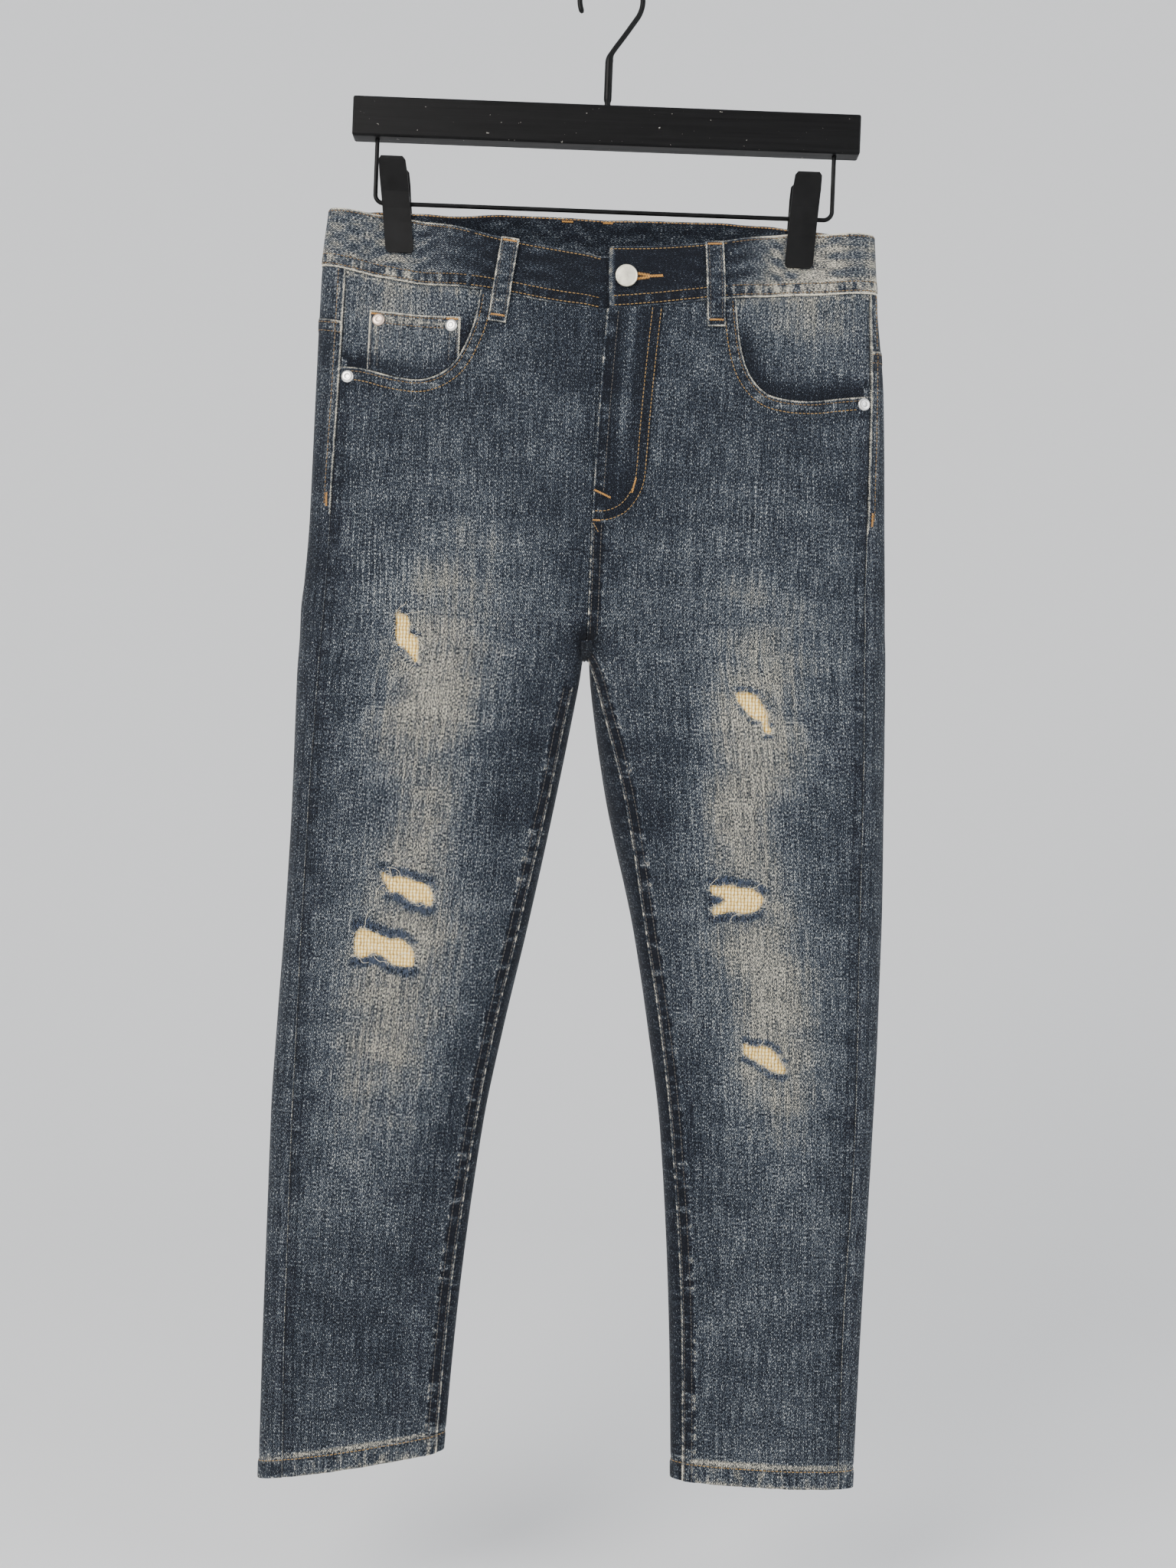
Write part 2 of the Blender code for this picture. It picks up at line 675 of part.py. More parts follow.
def coin_pocket():
    mouth = scoop_curve("right")
    low_part = mouth[mouth[:, 1] < -285]
    x = np.linspace(COIN_INNER, COIN_OUTER, 9)
    top = COIN_TOP[0] + (COIN_TOP[1] - COIN_TOP[0]) * (x - COIN_INNER) / (COIN_OUTER - COIN_INNER)
    foot = np.interp(x, low_part[:, 0], low_part[:, 1]) + 1.2
    z = np.array([top + (foot - top) * t for t in np.linspace(0, 1, 4)])
    grid_x = x[None, :] + 0 * z
    outer = skin("right", grid_x, z, -COIN_SUNK + 0 * z)
    inner = skin("right", grid_x, z, -COIN_SUNK - COIN_WALL + 0 * z)
    return grid_solid("coin_pocket", outer, inner, "denim")


def fly_placket():
    heights = np.array([row.z for row in FLY], float)
    edge = np.array([row.edge for row in FLY])
    curve = np.array([row.curve for row in FLY])
    share = np.linspace(0, 1, 5)[None, :]
    x = edge[:, None] + (curve - edge)[:, None] * share
    z = heights[:, None] + 0 * x
    z[0] = band_edge("left", x[0], "front", "low") - BAND_GAP
    outer = skin("left", x, z, LAY_GAP + FLY_WALL + 0 * z)
    inner = skin("left", x, z, LAY_GAP + 0 * z)
    return grid_solid("fly_placket", outer, inner, "denim")


def belt_loop(name):
    loop = LOOPS[name]
    share = np.linspace(0, 1, 9)
    x_middle = loop.x_top + (loop.x_low - loop.x_top) * share
    z_middle = loop.z_top + (loop.z_low - loop.z_top) * share
    low = float(band_edge(loop.side, x_middle[-2], loop.face, "low"))
    arch = np.sin(np.pi * np.clip(share / 0.8, 0, 1))
    on_band = BAND_OUT + LAY_GAP + LOOP_ARCH * arch
    stand = np.where(z_middle > low - 4, on_band, LAY_GAP)
    lean = (loop.x_top - loop.x_low) / (loop.z_top - loop.z_low)
    half = np.array([-0.5, 0.0, 0.5]) * loop.width
    x = x_middle[:, None] + half[None, :]
    z = z_middle[:, None] - lean * half[None, :]
    out = stand[:, None] + 0 * x
    outer = skin(loop.side, x, z, out + LOOP_WALL, loop.face)
    inner = skin(loop.side, x, z, out, loop.face)
    return grid_solid(name, outer, inner, "denim" if loop.face == "front" else "denim_back")


# Rips
def rip_outline(rip):
    points = []
    for k in range(RIP_POINTS):
        turn = 2 * math.pi * k / RIP_POINTS
        along = rip.wide / 2 * math.cos(turn)
        taper = (1 + rip.lean * math.cos(turn)) * (1 - 0.25 * math.cos(turn) ** 4)
        over = rip.high / 2 * math.sin(turn) * taper
        lean = math.radians(rip.tilt)
        points.append((rip.x + along * math.cos(lean) - over * math.sin(lean),
                       rip.z + along * math.sin(lean) + over * math.cos(lean)))
    return points


def cut_rip(panel, rip):
    outline = [(SIGN[rip.side] * x, z) for x, z in rip_outline(rip)]
    combine(panel, cutter(f"cut_{rip.name}", prism(outline)), "DIFFERENCE")


def rip_patch(rip):
    along = np.linspace(-0.5, 0.5, 5) * (rip.wide + 2 * PATCH_MARGIN)
    over = np.linspace(-0.5, 0.5, 4) * (rip.high + 2 * PATCH_MARGIN)
    grid_along, grid_over = np.meshgrid(along, over)
    lean = math.radians(rip.tilt)
    x = rip.x + grid_along * math.cos(lean) - grid_over * math.sin(lean)
    z = rip.z + grid_along * math.sin(lean) + grid_over * math.cos(lean)
    near = -(CLOTH + LAY_GAP)
    outer = skin(rip.side, x, z, near + 0 * z)
    inner = skin(rip.side, x, z, near - PATCH_WALL + 0 * z)
    return grid_solid(f"patch_{rip.name}", outer, inner, "patch_cloth")


# Button and rivets
def stud(row):
    seat = np.float64(row.seat + SEAM_GAP + STUD_LIFT)
    base = skin(row.side, np.float64(row.x), np.float64(row.z), seat)
    tip = skin(row.side, np.float64(row.x), np.float64(row.z), seat + 1.0)
    outline = BUTTON_OUTLINE if row.name == "button" else RIVET_OUTLINE
    profile = [(out * row.radius, rise * row.height) for out, rise in outline]
    finish = "copper" if row.name == "rivet_coin_outer" else "nickel"
    return turned(row.name, base, tip - base, profile, finish)


# Hanger
def bore(name, x, low, high, radius):
    shape = bmesh.new()
    bmesh.ops.create_cone(shape, cap_ends=True, segments=12, radius1=radius * MM, radius2=radius * MM,
                          depth=(high - low) * MM)
    bmesh.ops.translate(shape, vec=(x * MM, 0, (low + high) / 2 * MM), verts=shape.verts)
    return cutter(name, shape)


def hanger_bar():
    low = BAR_TOP - BAR_HEIGHT
    bar = new_object("hanger_bar", box((-BAR_HALF, -BAR_DEPTH / 2, low), (BAR_HALF, BAR_DEPTH / 2, BAR_TOP)),
                     "black_wood")
    edge = bar.modifiers.new("rounded_edges", "BEVEL")
    edge.width = BAR_EDGE * MM
    edge.segments = 2
    stem = bore("stem_bore", 0, BAR_TOP - STEM_SUNK - 1, BAR_TOP + 2, NECK_RADIUS + BORE_PLAY)
    combine(bar, stem, "DIFFERENCE")
    for end, sign in (("right", -1), ("left", 1)):
        top = low + RAIL_SUNK + 1
        rail = bore(f"rail_bore_{end}", sign * RAIL_HALF, low - 2, top, RAIL_RADIUS + BORE_PLAY)
        combine(bar, rail, "DIFFERENCE")
    return bar


def hook():
    radius = HOOK_INSIDE + HOOK_WIRE
    centre_z = -HOOK_INSIDE
    touch = -math.asin(radius / (centre_z - STEM_TOP))
    neck = BAR_TOP + NECK_HEIGHT
    stem = [(0, 0, z) for z in (BAR_TOP - STEM_SUNK, BAR_TOP, neck, neck + 1)]
    stem += [(0, 0, z) for z in np.linspace(BAR_TOP + 18, STEM_TOP - 5, 3)]
    sizes = [NECK_RADIUS] * 3 + [SLEEVE_RADIUS] * 4
    bend = [(0.4, 0, STEM_TOP - 0.5), (2.4, 0, STEM_TOP + 3.8)]
    sizes += [SLEEVE_RADIUS * 0.92, SLEEVE_RADIUS * 0.78]
    turns = np.radians(np.linspace(math.degrees(touch), HOOK_TIP, 26))
    arc = [(radius * math.cos(t), 0, centre_z + radius * math.sin(t)) for t in turns]
    sizes += [HOOK_WIRE] * (len(arc) - 1) + [HOOK_WIRE * 0.7]
    return tube("hook", stem + bend + arc, sizes, "black_metal")


def clip_rail():
    low = BAR_TOP - BAR_HEIGHT
    corner = []
    for t in np.radians(np.linspace(0, 90, 6)):
        out, up = RAIL_BEND * math.cos(t), RAIL_BEND * math.sin(t)
        corner.append((RAIL_HALF - RAIL_BEND + out, RAIL_Z + RAIL_BEND - up))
    half = [(RAIL_HALF, low + RAIL_SUNK), (RAIL_HALF, low - 8)] + corner
    half += [(x, RAIL_Z) for x in (120.0, 60.0)]
    path = [(x, 0, z) for x, z in half] + [(-x, 0, z) for x, z in half[::-1]]
    return tube("clip_rail", path, [RAIL_RADIUS] * len(path), "black_metal", sides=8)


def clip_middle(side, z):
    share = (CLIP_TOP - z) / (CLIP_TOP - CLIP_FOOT)
    return SIGN[side] * (CLIP_TOP_X[side] + (CLIP_LOW_X[side] - CLIP_TOP_X[side]) * share)


def clip_jaw(side, face):
    # The plate's inner face runs from the cloth, past the rail, to the spread finger end.
    toward = -1.0 if face == "front" else 1.0
    near, far = [], []
    for row in JAW:
        middle = clip_middle(side, row.z)
        near.append([(middle + s * row.half, toward * row.y, row.z) for s in (-1, 0, 1)])
        far.append([(middle + s * row.half, toward * (row.y + CLIP_WALL), row.z) for s in (-1, 0, 1)])
    jaw = grid_solid(f"clip_{side}_jaw_{face}", np.array(far), np.array(near), "black_metal")
    middle = clip_middle(side, RAIL_Z)
    ends = sorted((toward * EAR_NEAR, -toward * EAR_PAST))
    for sign in (-1, 1):
        ear = middle + sign * EAR_REACH[face]
        low = (ear - EAR_WALL / 2, ends[0], RAIL_Z - EAR_HALF)
        high = (ear + EAR_WALL / 2, ends[1], RAIL_Z + EAR_HALF)
        combine(jaw, cutter(f"ear_{side}_{face}_{sign + 1}", box(low, high)), "UNION")
    shape = bmesh.new()
    size = (RAIL_RADIUS + BORE_PLAY) * MM
    bmesh.ops.create_cone(shape, cap_ends=True, segments=12, radius1=size, radius2=size, depth=30 * MM)
    bmesh.ops.rotate(shape, verts=shape.verts, matrix=Matrix.Rotation(math.pi / 2, 3, "Y"))
    bmesh.ops.translate(shape, vec=(middle * MM, 0, RAIL_Z * MM), verts=shape.verts)
    combine(jaw, cutter(f"ear_hole_{side}_{face}", shape), "DIFFERENCE")
    return jaw


def clip_spring(side):
    middle = clip_middle(side, RAIL_Z)
    path = [(middle + t * SPRING_HALF, 0, RAIL_Z) for t in (-1, 0, 1)]
    bore_radius = RAIL_RADIUS + BORE_PLAY
    return tube(f"clip_{side}_spring", path, [SPRING_OUT] * 3, "black_metal", sides=12, inside=bore_radius)


def build():
    for thing in list(bpy.data.objects):
        bpy.data.objects.remove(thing)
    for side in ("right", "left"):
        front = leg_panel("front", side)
        cut_scoop(front, side)
        for rip in RIPS:
            if rip.side == side:
                cut_rip(front, rip)
        leg_panel("back", side)
        yoke(side)
        pocket_facing(side)
    for rip in RIPS:
        rip_patch(rip)
    waistband()
    coin_pocket()
    fly_placket()
    for name in LOOPS:
        belt_loop(name)
    for row in STUDS:
        stud(row)
    hanger_bar()
    hook()
    clip_rail()
    for side in ("right", "left"):
        clip_jaw(side, "front")
        clip_jaw(side, "back")
        clip_spring(side)


build()
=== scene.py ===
import math
import bmesh
import bpy
import numpy as np
from mathutils import Matrix, Vector
from mathutils.bvhtree import BVHTree


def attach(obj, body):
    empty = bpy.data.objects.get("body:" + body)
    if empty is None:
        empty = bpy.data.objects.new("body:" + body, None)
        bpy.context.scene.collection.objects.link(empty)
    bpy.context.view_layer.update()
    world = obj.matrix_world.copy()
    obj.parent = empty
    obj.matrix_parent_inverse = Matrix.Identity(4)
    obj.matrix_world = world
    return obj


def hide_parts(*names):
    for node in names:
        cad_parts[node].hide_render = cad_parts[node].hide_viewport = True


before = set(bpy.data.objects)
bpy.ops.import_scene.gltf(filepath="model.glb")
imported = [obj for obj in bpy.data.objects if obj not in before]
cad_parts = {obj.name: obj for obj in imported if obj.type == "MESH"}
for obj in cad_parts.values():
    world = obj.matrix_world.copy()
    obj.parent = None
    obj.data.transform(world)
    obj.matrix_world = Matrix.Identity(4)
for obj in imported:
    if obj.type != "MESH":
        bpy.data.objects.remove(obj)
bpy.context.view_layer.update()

mm = 0.001  # sizes below are in millimetres

# The hanging body: distances from the middle of the jeans down each leg, the same as the solids'.
legColumns = ("z", "outer", "inner", "sideSeam", "inseam")
legs = {
    "right": [(-180, 205, -205, 190, 0), (-240, 210, -210, 191, 0), (-310, 211, -204, 192, 0),
              (-420, 212, -150, 195, 0), (-465, 214, -90, 196, 0), (-492, 216, -30, 197, 0),
              (-507, 216, 0, 198, 0), (-540, 217, 5, 199, 9), (-620, 217, 18, 202, 23),
              (-720, 219, 36, 204, 42), (-800, 222, 52, 205, 58), (-870, 224, 64, 206, 69),
              (-1010, 224, 78, 206, 84), (-1150, 223, 86, 203, 91)],
    "left": [(-180, 203, -203, 200, 0), (-240, 208, -208, 202, 0), (-310, 216, -206, 205, 0),
             (-420, 221, -155, 206, 0), (-465, 223, -92, 206, 0), (-492, 224, -31, 207, 0),
             (-507, 225, 0, 207, 0), (-540, 226, 4, 208, 9), (-620, 228, 18, 210, 32),
             (-720, 230, 43, 211, 52), (-800, 230, 58, 213, 67), (-870, 229, 69, 214, 77),
             (-1010, 226, 81, 211, 90), (-1150, 224, 88, 212, 96)],
}
depthColumns = ("z", "front", "back")
depths = [(-180, 24, 24), (-240, 24, 26), (-310, 26, 33), (-420, 26, 41), (-490, 25, 40), (-580, 27, 34),
          (-720, 25, 27), (-850, 20, 24), (-1010, 16, 18), (-1150, 14, 14)]
bandColumns = ("x", "frontTop", "frontLow", "backTop", "backLow")
bandEdges = {
    "right": [(0, -221, -261, -180, -225), (30, -217, -258, -179, -224), (75, -210, -251, -179, -224),
              (145, -193, -241, -187.5, -231), (208, -187, -231, -187, -231)],
    "left": [(0, -214, -261, -180, -225), (30, -213, -258, -179, -224), (85, -207, -250, -179, -224),
             (145, -193, -240, -189, -233), (206, -192, -237, -192, -237)],
}
scoops = {
    "right": [(88, -232), (89, -252), (94, -278), (107, -304), (127, -315.5), (150, -314.5), (173, -309),
              (194, -307)],
    "left": [(100, -232), (101.5, -252), (106, -283), (113, -303), (125, -316), (140, -320.5), (160, -321),
             (180, -318), (208, -314)],
}
body = {
    "roundness": 2.3, "crotch": -507.0, "seamGap": 0.3, "cloth": 1.2, "hemWall": 2.4, "hemHeight": 13.0,
    "clipX": {"right": 153.0, "left": 149.0}, "clipFoot": -219.0, "pinchLeft": 0.123, "pinchFlat": 13.0,
    "pinchWidth": 24.0, "pinchFade": 60.0, "pinchSpread": 0.15, "bandGap": 0.35,
    "hems": {"right": (-1116, -1142), "left": (-1130, -1132)},
    "yokeSide": {"right": -270.0, "left": -280.0}, "yokeMiddle": -306.0,
}
sign = {"right": -1.0, "left": 1.0}

# Folds and creases, as in the solids: place, half length, half width, tilt from level, height.
folds = {
    ("right", "front"): [
        (44, -545, 60, 15, 38, 2.6), (66, -596, 62, 17, 30, 2.2), (120, -655, 55, 20, -8, -2),
        (150, -772, 60, 19, -16, 2.4), (140, -835, 52, 18, 10, -1.8), (165, -985, 95, 17, 84, 2),
        (118, -1000, 90, 16, 96, -1.8)],
    ("right", "back"): [
        (70, -520, 80, 20, 30, 3.6), (120, -575, 85, 20, 18, -3), (130, -735, 75, 18, 8, 3.4),
        (145, -790, 70, 18, -12, -3), (150, -960, 95, 19, 85, 2.4)],
    ("left", "front"): [
        (40, -540, 55, 15, 42, 2.4), (70, -602, 66, 18, 30, 2.2), (122, -640, 60, 20, 6, -1.8),
        (140, -752, 62, 19, 14, 2.4), (150, -862, 55, 19, -10, -1.8), (172, -1000, 90, 17, 86, 2)],
    ("left", "back"): [
        (72, -525, 80, 20, 32, 3.6), (118, -582, 85, 20, 16, -3), (132, -728, 75, 18, 10, 3.4),
        (148, -782, 70, 18, -10, -3), (150, -975, 95, 19, 84, 2.4)],
}


# Shape of the body
def column(rows, names, name, at, key="z"):
    rows = np.array(sorted(rows, key=lambda row: row[names.index(key)]), float)
    x, y = rows[:, names.index(key)], rows[:, names.index(name)]
    at = np.clip(np.asarray(at, float), x[0], x[-1])
    step = np.diff(x)
    slope = np.diff(y) / step
    before, after = slope[:-1], slope[1:]
    same = before * after > 0
    inner = np.where(same, 2 * before * after / np.where(same, before + after, 1), 0)
    tangent = np.concatenate([slope[:1], inner, slope[-1:]])
    k = np.clip(np.searchsorted(x, at) - 1, 0, len(step) - 1)
    t = (at - x[k]) / step[k]
    start = (1 + 2 * t) * (1 - t) ** 2 * y[k] + t * (1 - t) ** 2 * step[k] * tangent[k]
    return start + t * t * (3 - 2 * t) * y[k + 1] - t * t * (1 - t) * step[k] * tangent[k + 1]


def signedPower(value, power):
    return np.sign(value) * np.abs(value) ** power


def legValue(side, name, z):
    return column(legs[side], legColumns, name, z)


def bandEdge(side, face, edge, x):
    return column(bandEdges[side], bandColumns, face + edge, x, "x")


def section(side, z):
    outer, inner = legValue(side, "outer", z), legValue(side, "inner", z)
    return (outer + inner) / 2, (outer - inner) / 2


def angleAt(side, x, z, face="front"):  # 0 at the outer edge, minus at the front, plus at the back
    middle, half = section(side, z)
    angle = np.arccos(signedPower(np.clip((x - middle) / half, -1, 1), body["roundness"] / 2))
    return -angle if face == "front" else angle


def pinch(side, x, z):  # the clips press front and back together
    drop = np.maximum(0, body["clipFoot"] - z)
    hold = 1 / (1 + (drop / body["pinchFade"]) ** 2)
    off = np.maximum(0, np.abs(x - body["clipX"][side]) - body["pinchFlat"])
    near = np.exp(-(off / (body["pinchWidth"] + body["pinchSpread"] * drop)) ** 2)
    return 1 - (1 - body["pinchLeft"]) * hold * near


def blot(x, z, place, long, wide, tilt=0, power=2):  # 1 at its middle, fading out over a tilted oval
    turn = math.radians(tilt)
    right, up = x - place[0], z - place[1]
    along = (right * math.cos(turn) + up * math.sin(turn)) / long
    over = (up * math.cos(turn) - right * math.sin(turn)) / wide
    return np.exp(-along ** power - over ** power)


def blotted(blots, side, front, x, z, start=0.0):  # the front's blots at the front, the back's at the back
    total = np.full(np.broadcast(x, z).shape, start)
    for face in ("front", "back"):
        for blotX, blotZ, long, wide, tilt, amount in blots[side, face]:
            here = amount * blot(x, z, (blotX, blotZ), long, wide, tilt)
            total += np.where(front == (face == "front"), here, 0)
    return total


def freePoint(side, angle, z):
    middle, half = section(side, z)
    power = 2 / body["roundness"]
    across, deep = signedPower(np.cos(angle), power), signedPower(np.sin(angle), power)
    x, front = middle + half * across, deep < 0
    depth = np.where(front, column(depths, depthColumns, "front", z), column(depths, depthColumns, "back", z))
    y = deep * (depth * pinch(side, x, z) + blotted(folds, side, front, x, z))
    return np.stack([sign[side] * x, y, z + 0 * x], -1)


def bodyNormal(side, angle, z):
    along = freePoint(side, angle + 0.03, z) - freePoint(side, angle - 0.03, z)
    down = freePoint(side, angle, z - 1.5) - freePoint(side, angle, z + 1.5)
    normal = np.cross(down, along) * sign[side]
    return normal / np.linalg.norm(normal, axis=-1, keepdims=True)


def bodyPoint(side, angle, z, out=0.0):
    angle, z = np.broadcast_arrays(np.asarray(angle, float), np.asarray(z, float))
    point = freePoint(side, angle, z) + bodyNormal(side, angle, z) * np.asarray(out, float)[..., None]
    point[..., 0] = np.maximum(point[..., 0] * sign[side], body["seamGap"] / 2) * sign[side]
    return point


def skin(side, x, z, out=0.0, face="front"):
    x, z = np.broadcast_arrays(np.asarray(x, float), np.asarray(z, float))
    return bodyPoint(side, angleAt(side, x, z, face), z, out + 0 * z)


# Node helpers
def addNode(tree, kind, values=None, **settings):
    made = tree.nodes.new(kind)
    for name, value in settings.items():
        setattr(made, name, value)
    for key, value in (values or {}).items():
        if isinstance(value, Reckoned):
            value = value.socket
        if isinstance(value, bpy.types.NodeSocket):
            tree.links.new(value, made.inputs[key])
        else:
            made.inputs[key].default_value = value
    return made


class Reckoned:  # a node's output that is reckoned with like a number: each step is one Math node
    def __init__(self, tree, socket):
        self.tree, self.socket = tree, socket

    def math(self, operation, *others, clamp=False):
        return mathNode(self.tree, operation, self, *others, clamp=clamp)

    def __add__(self, other):
        return self.math("ADD", other)

    def __sub__(self, other):
        return self.math("SUBTRACT", other)

    def __rsub__(self, other):
        return mathNode(self.tree, "SUBTRACT", other, self)

    def __mul__(self, other):
        return self.math("MULTIPLY", other)

    def __truediv__(self, other):
        return self.math("DIVIDE", other)


def mathNode(tree, operation, *values, clamp=False):
    made = addNode(tree, "ShaderNodeMath", dict(enumerate(values)), operation=operation, use_clamp=clamp)
    return Reckoned(tree, made.outputs[0])


def splitNode(tree, vector):
    return [Reckoned(tree, part) for part in addNode(tree, "ShaderNodeSeparateXYZ", {0: vector}).outputs]


def noiseNode(tree, vector, scale, detail=2.0, rough=0.5):
    scaled = addNode(tree, "ShaderNodeVectorMath", {0: vector, 1: scale}, operation="MULTIPLY").outputs[0]
    made = addNode(tree, "ShaderNodeTexNoise",
                   {"Vector": scaled, "Scale": 1.0, "Detail": detail, "Roughness": rough})
    return Reckoned(tree, made.outputs["Fac"])


def attributeNode(tree, name, output="Fac"):
    return Reckoned(tree, addNode(tree, "ShaderNodeAttribute", attribute_name=name).outputs[output])


def objectPlace(tree):
    return addNode(tree, "ShaderNodeTexCoord").outputs["Object"]


def mixNode(tree, factor, first, second, blend="MIX"):
    made = addNode(tree, "ShaderNodeMix", {0: factor, 6: first, 7: second}, data_type="RGBA", blend_type=blend)
    return made.outputs[2]


def rampNode(tree, factor, stops):
    made = addNode(tree, "ShaderNodeValToRGB", {"Fac": factor})
    ramp = made.color_ramp
    while len(ramp.elements) < len(stops):
        ramp.elements.new(0.5)
    for element, (place, colour) in zip(ramp.elements, stops):
        element.position = place
        element.color = (*colour, 1)
    return made.outputs["Color"]


def newMaterial(name, roughness, colour=(0.5, 0.5, 0.5), **sockets):
    material = bpy.data.materials.new(name)
    material.use_nodes = True
    shader = material.node_tree.nodes["Principled BSDF"]
    shader.inputs["Roughness"].default_value = roughness
    shader.inputs["Base Color"].default_value = (*colour, 1)
    names = {"metallic": "Metallic", "sheen": "Sheen Weight", "specular": "Specular IOR Level"}
    for key, value in sockets.items():
        shader.inputs[names[key]].default_value = value
    return material, material.node_tree, shader


def feed(shader, name, value):
    socket = value.socket if isinstance(value, Reckoned) else value
    shader.id_data.links.new(socket, shader.inputs[name])


def addBump(shader, height, strength, distance):
    made = addNode(shader.id_data, "ShaderNodeBump",
                   {"Height": height, "Strength": strength, "Distance": distance})
    feed(shader, "Normal", made.outputs["Normal"])


def spread(noise, amount):  # noise is centred on 0.5
    return (noise - 0.5) * (amount * 2)


def lineAt(distance, place, width):  # 1 at a distance from an edge, less on both sides of it
    off = (distance - place) / width
    return (off * off * -1.0).math("EXPONENT")


# Denim: tone, wear (with a painted highlight on the fly) and pucker come from each piece's own attributes, the
# weave from its arc lengths.
denim = {
    "stops": [(0.0, (0.0020, 0.0032, 0.0068)), (0.2, (0.0062, 0.0090, 0.0155)), (0.4, (0.022, 0.030, 0.043)),
              (0.6, (0.080, 0.093, 0.110)), (0.8, (0.218, 0.236, 0.244)), (1.0, (0.57, 0.585, 0.555))],
    "beige": (1.10, 0.985, 0.82), "beigeFrom": 0.40, "beigeTo": 0.58,
    "twillAcross": 1.35, "twillDown": 1.9, "twill": 0.18, "uneven": 4.0, "speckle": 1.15, "slub": 0.50,
    "streak": 0.16, "mottle": 0.24, "pucker": 0.42, "roughness": 0.9, "sheen": 0.10,
    "edgeAt": 0.5, "edgeWidth": 0.85, "edgeWear": 0.50, "smooth": 0.6,
    # hollowAt to secondWidth: painted shade along the two rows of stitches beside a folded edge
    "hollowAt": 2.3, "hollowWidth": 0.7, "hollowShade": 0.17, "secondAt": 9.0, "secondWidth": 0.9, "second": 0.11,
    "scratchPitch": 4.3, "scratchWidth": 0.085, "scratch": 0.50, "dashFrom": 0.51, "waver": 0.8,
    "twillRelief": 0.3, "speckleRelief": 1.2, "puckerRelief": 1.5, "bump": 0.6, "bumpHeight": 0.0004,
}
denimNoise = {  # scale across and down the cloth, detail and roughness
    "slubs": ((1.00, 0.045, 1), 3, 0.6), "streaks": ((0.30, 0.010, 1), 2, 0.5),
    "speckle": ((1.55, 0.60, 1), 1, 0.6), "mottle": ((0.017, 0.040, 1), 4, 0.55),
    "waver": ((0.03, 0.035, 1), 2, 0.5), "dashes": ((0.24, 0.75, 1), 2, 0.8),
}
seamNoise = {  # the same, with the scale along and across a seam
    "puckers": ((0.22, 0.07, 1), 1, 0.5), "wear": ((0.7, 0.4, 1), 2, 0.7),
}


def denimMaterial(name, shift=0.0, slub=1.0):
    material, tree, shader = newMaterial(name, denim["roughness"], sheen=denim["sheen"], specular=0.2)
    weave, along = attributeNode(tree, "weave", "Vector"), attributeNode(tree, "along", "Vector")
    across, down, _ = splitNode(tree, weave)
    slubs, streaks, speckle, mottle, waver, dashes = (noiseNode(tree, weave, *look)
                                                      for look in denimNoise.values())
    puckers, wearing = (noiseNode(tree, along, *look) for look in seamNoise.values())
    turn = across * (2 * math.pi / denim["twillAcross"]) + down * (2 * math.pi / denim["twillDown"])
    twill = (turn + speckle * denim["uneven"]).math("SINE")
    base = attributeNode(tree, "tone") + shift + spread(mottle, denim["mottle"])
    base = base + spread(streaks, denim["streak"] * slub)
    # puckers beside the seams: painted shade in their hollows and wear on their ridges, across the rows of
    # stitches
    puckers = spread(puckers, 2.0) * attributeNode(tree, "pucker")
    base = base + puckers * denim["pucker"] + attributeNode(tree, "wear") * (wearing * 0.9 + 0.55)
    # folded edges are worn pale, and both rows of stitches beside them get painted shade, the shade of the
    # hollows they sink into
    edge = attributeNode(tree, "edge")
    worn = lineAt(edge, denim["edgeAt"], denim["edgeWidth"])
    base = base + worn * ((wearing + 0.45) * denim["edgeWear"])
    base = base - lineAt(edge, denim["hollowAt"], denim["hollowWidth"]) * denim["hollowShade"]
    base = base - lineAt(edge, denim["secondAt"], denim["secondWidth"]) * denim["second"]
    tone = base + spread(slubs, denim["slub"] * slub)
    tone = tone + spread(speckle, denim["speckle"]) * (1.0 - worn * denim["smooth"]) + twill * denim["twill"]
    # short white scratches, in upright rows that waver a little
    lane = (across / denim["scratchPitch"] + waver * denim["waver"]).math("FRACT")
    inLane = (lane - 0.5).math("ABSOLUTE").math("LESS_THAN", denim["scratchWidth"])
    scratch = inLane * dashes.math("GREATER_THAN", denim["dashFrom"]) * attributeNode(tree, "scratch")
    tone = tone.math("ADD", scratch * denim["scratch"], clamp=True)
    faded = addNode(tree, "ShaderNodeMapRange", {0: base, 1: denim["beigeFrom"], 2: denim["beigeTo"]})
    warm = mixNode(tree, faded.outputs[0], (1, 1, 1, 1), (*denim["beige"], 1))
    feed(shader, "Base Color", mixNode(tree, 1.0, rampNode(tree, tone, denim["stops"]), warm, "MULTIPLY"))
    relief = twill * denim["twillRelief"] + speckle * denim["speckleRelief"] + puckers * denim["puckerRelief"]
    addBump(shader, relief, denim["bump"], denim["bumpHeight"])
    return material


def threadMaterial(name, colour, other):
    material, tree, shader = newMaterial(name, 0.6, sheen=0.2)
    spot = objectPlace(tree)
    wave = addNode(tree, "ShaderNodeTexWave", {"Vector": spot, "Scale": 900.0, "Distortion": 2.0},
                   bands_direction="DIAGONAL")
    twist = Reckoned(tree, wave.outputs["Fac"])
    # the twist and a noise paint each strand between its lit colour and its shaded one: painted light and shade
    tint = twist * 0.5 + noiseNode(tree, spot, (120, 120, 120)) * 0.6
    feed(shader, "Base Color", rampNode(tree, tint, [(0.15, other), (0.85, colour)]))
    addBump(shader, twist, 0.4, 0.0001)
    return material


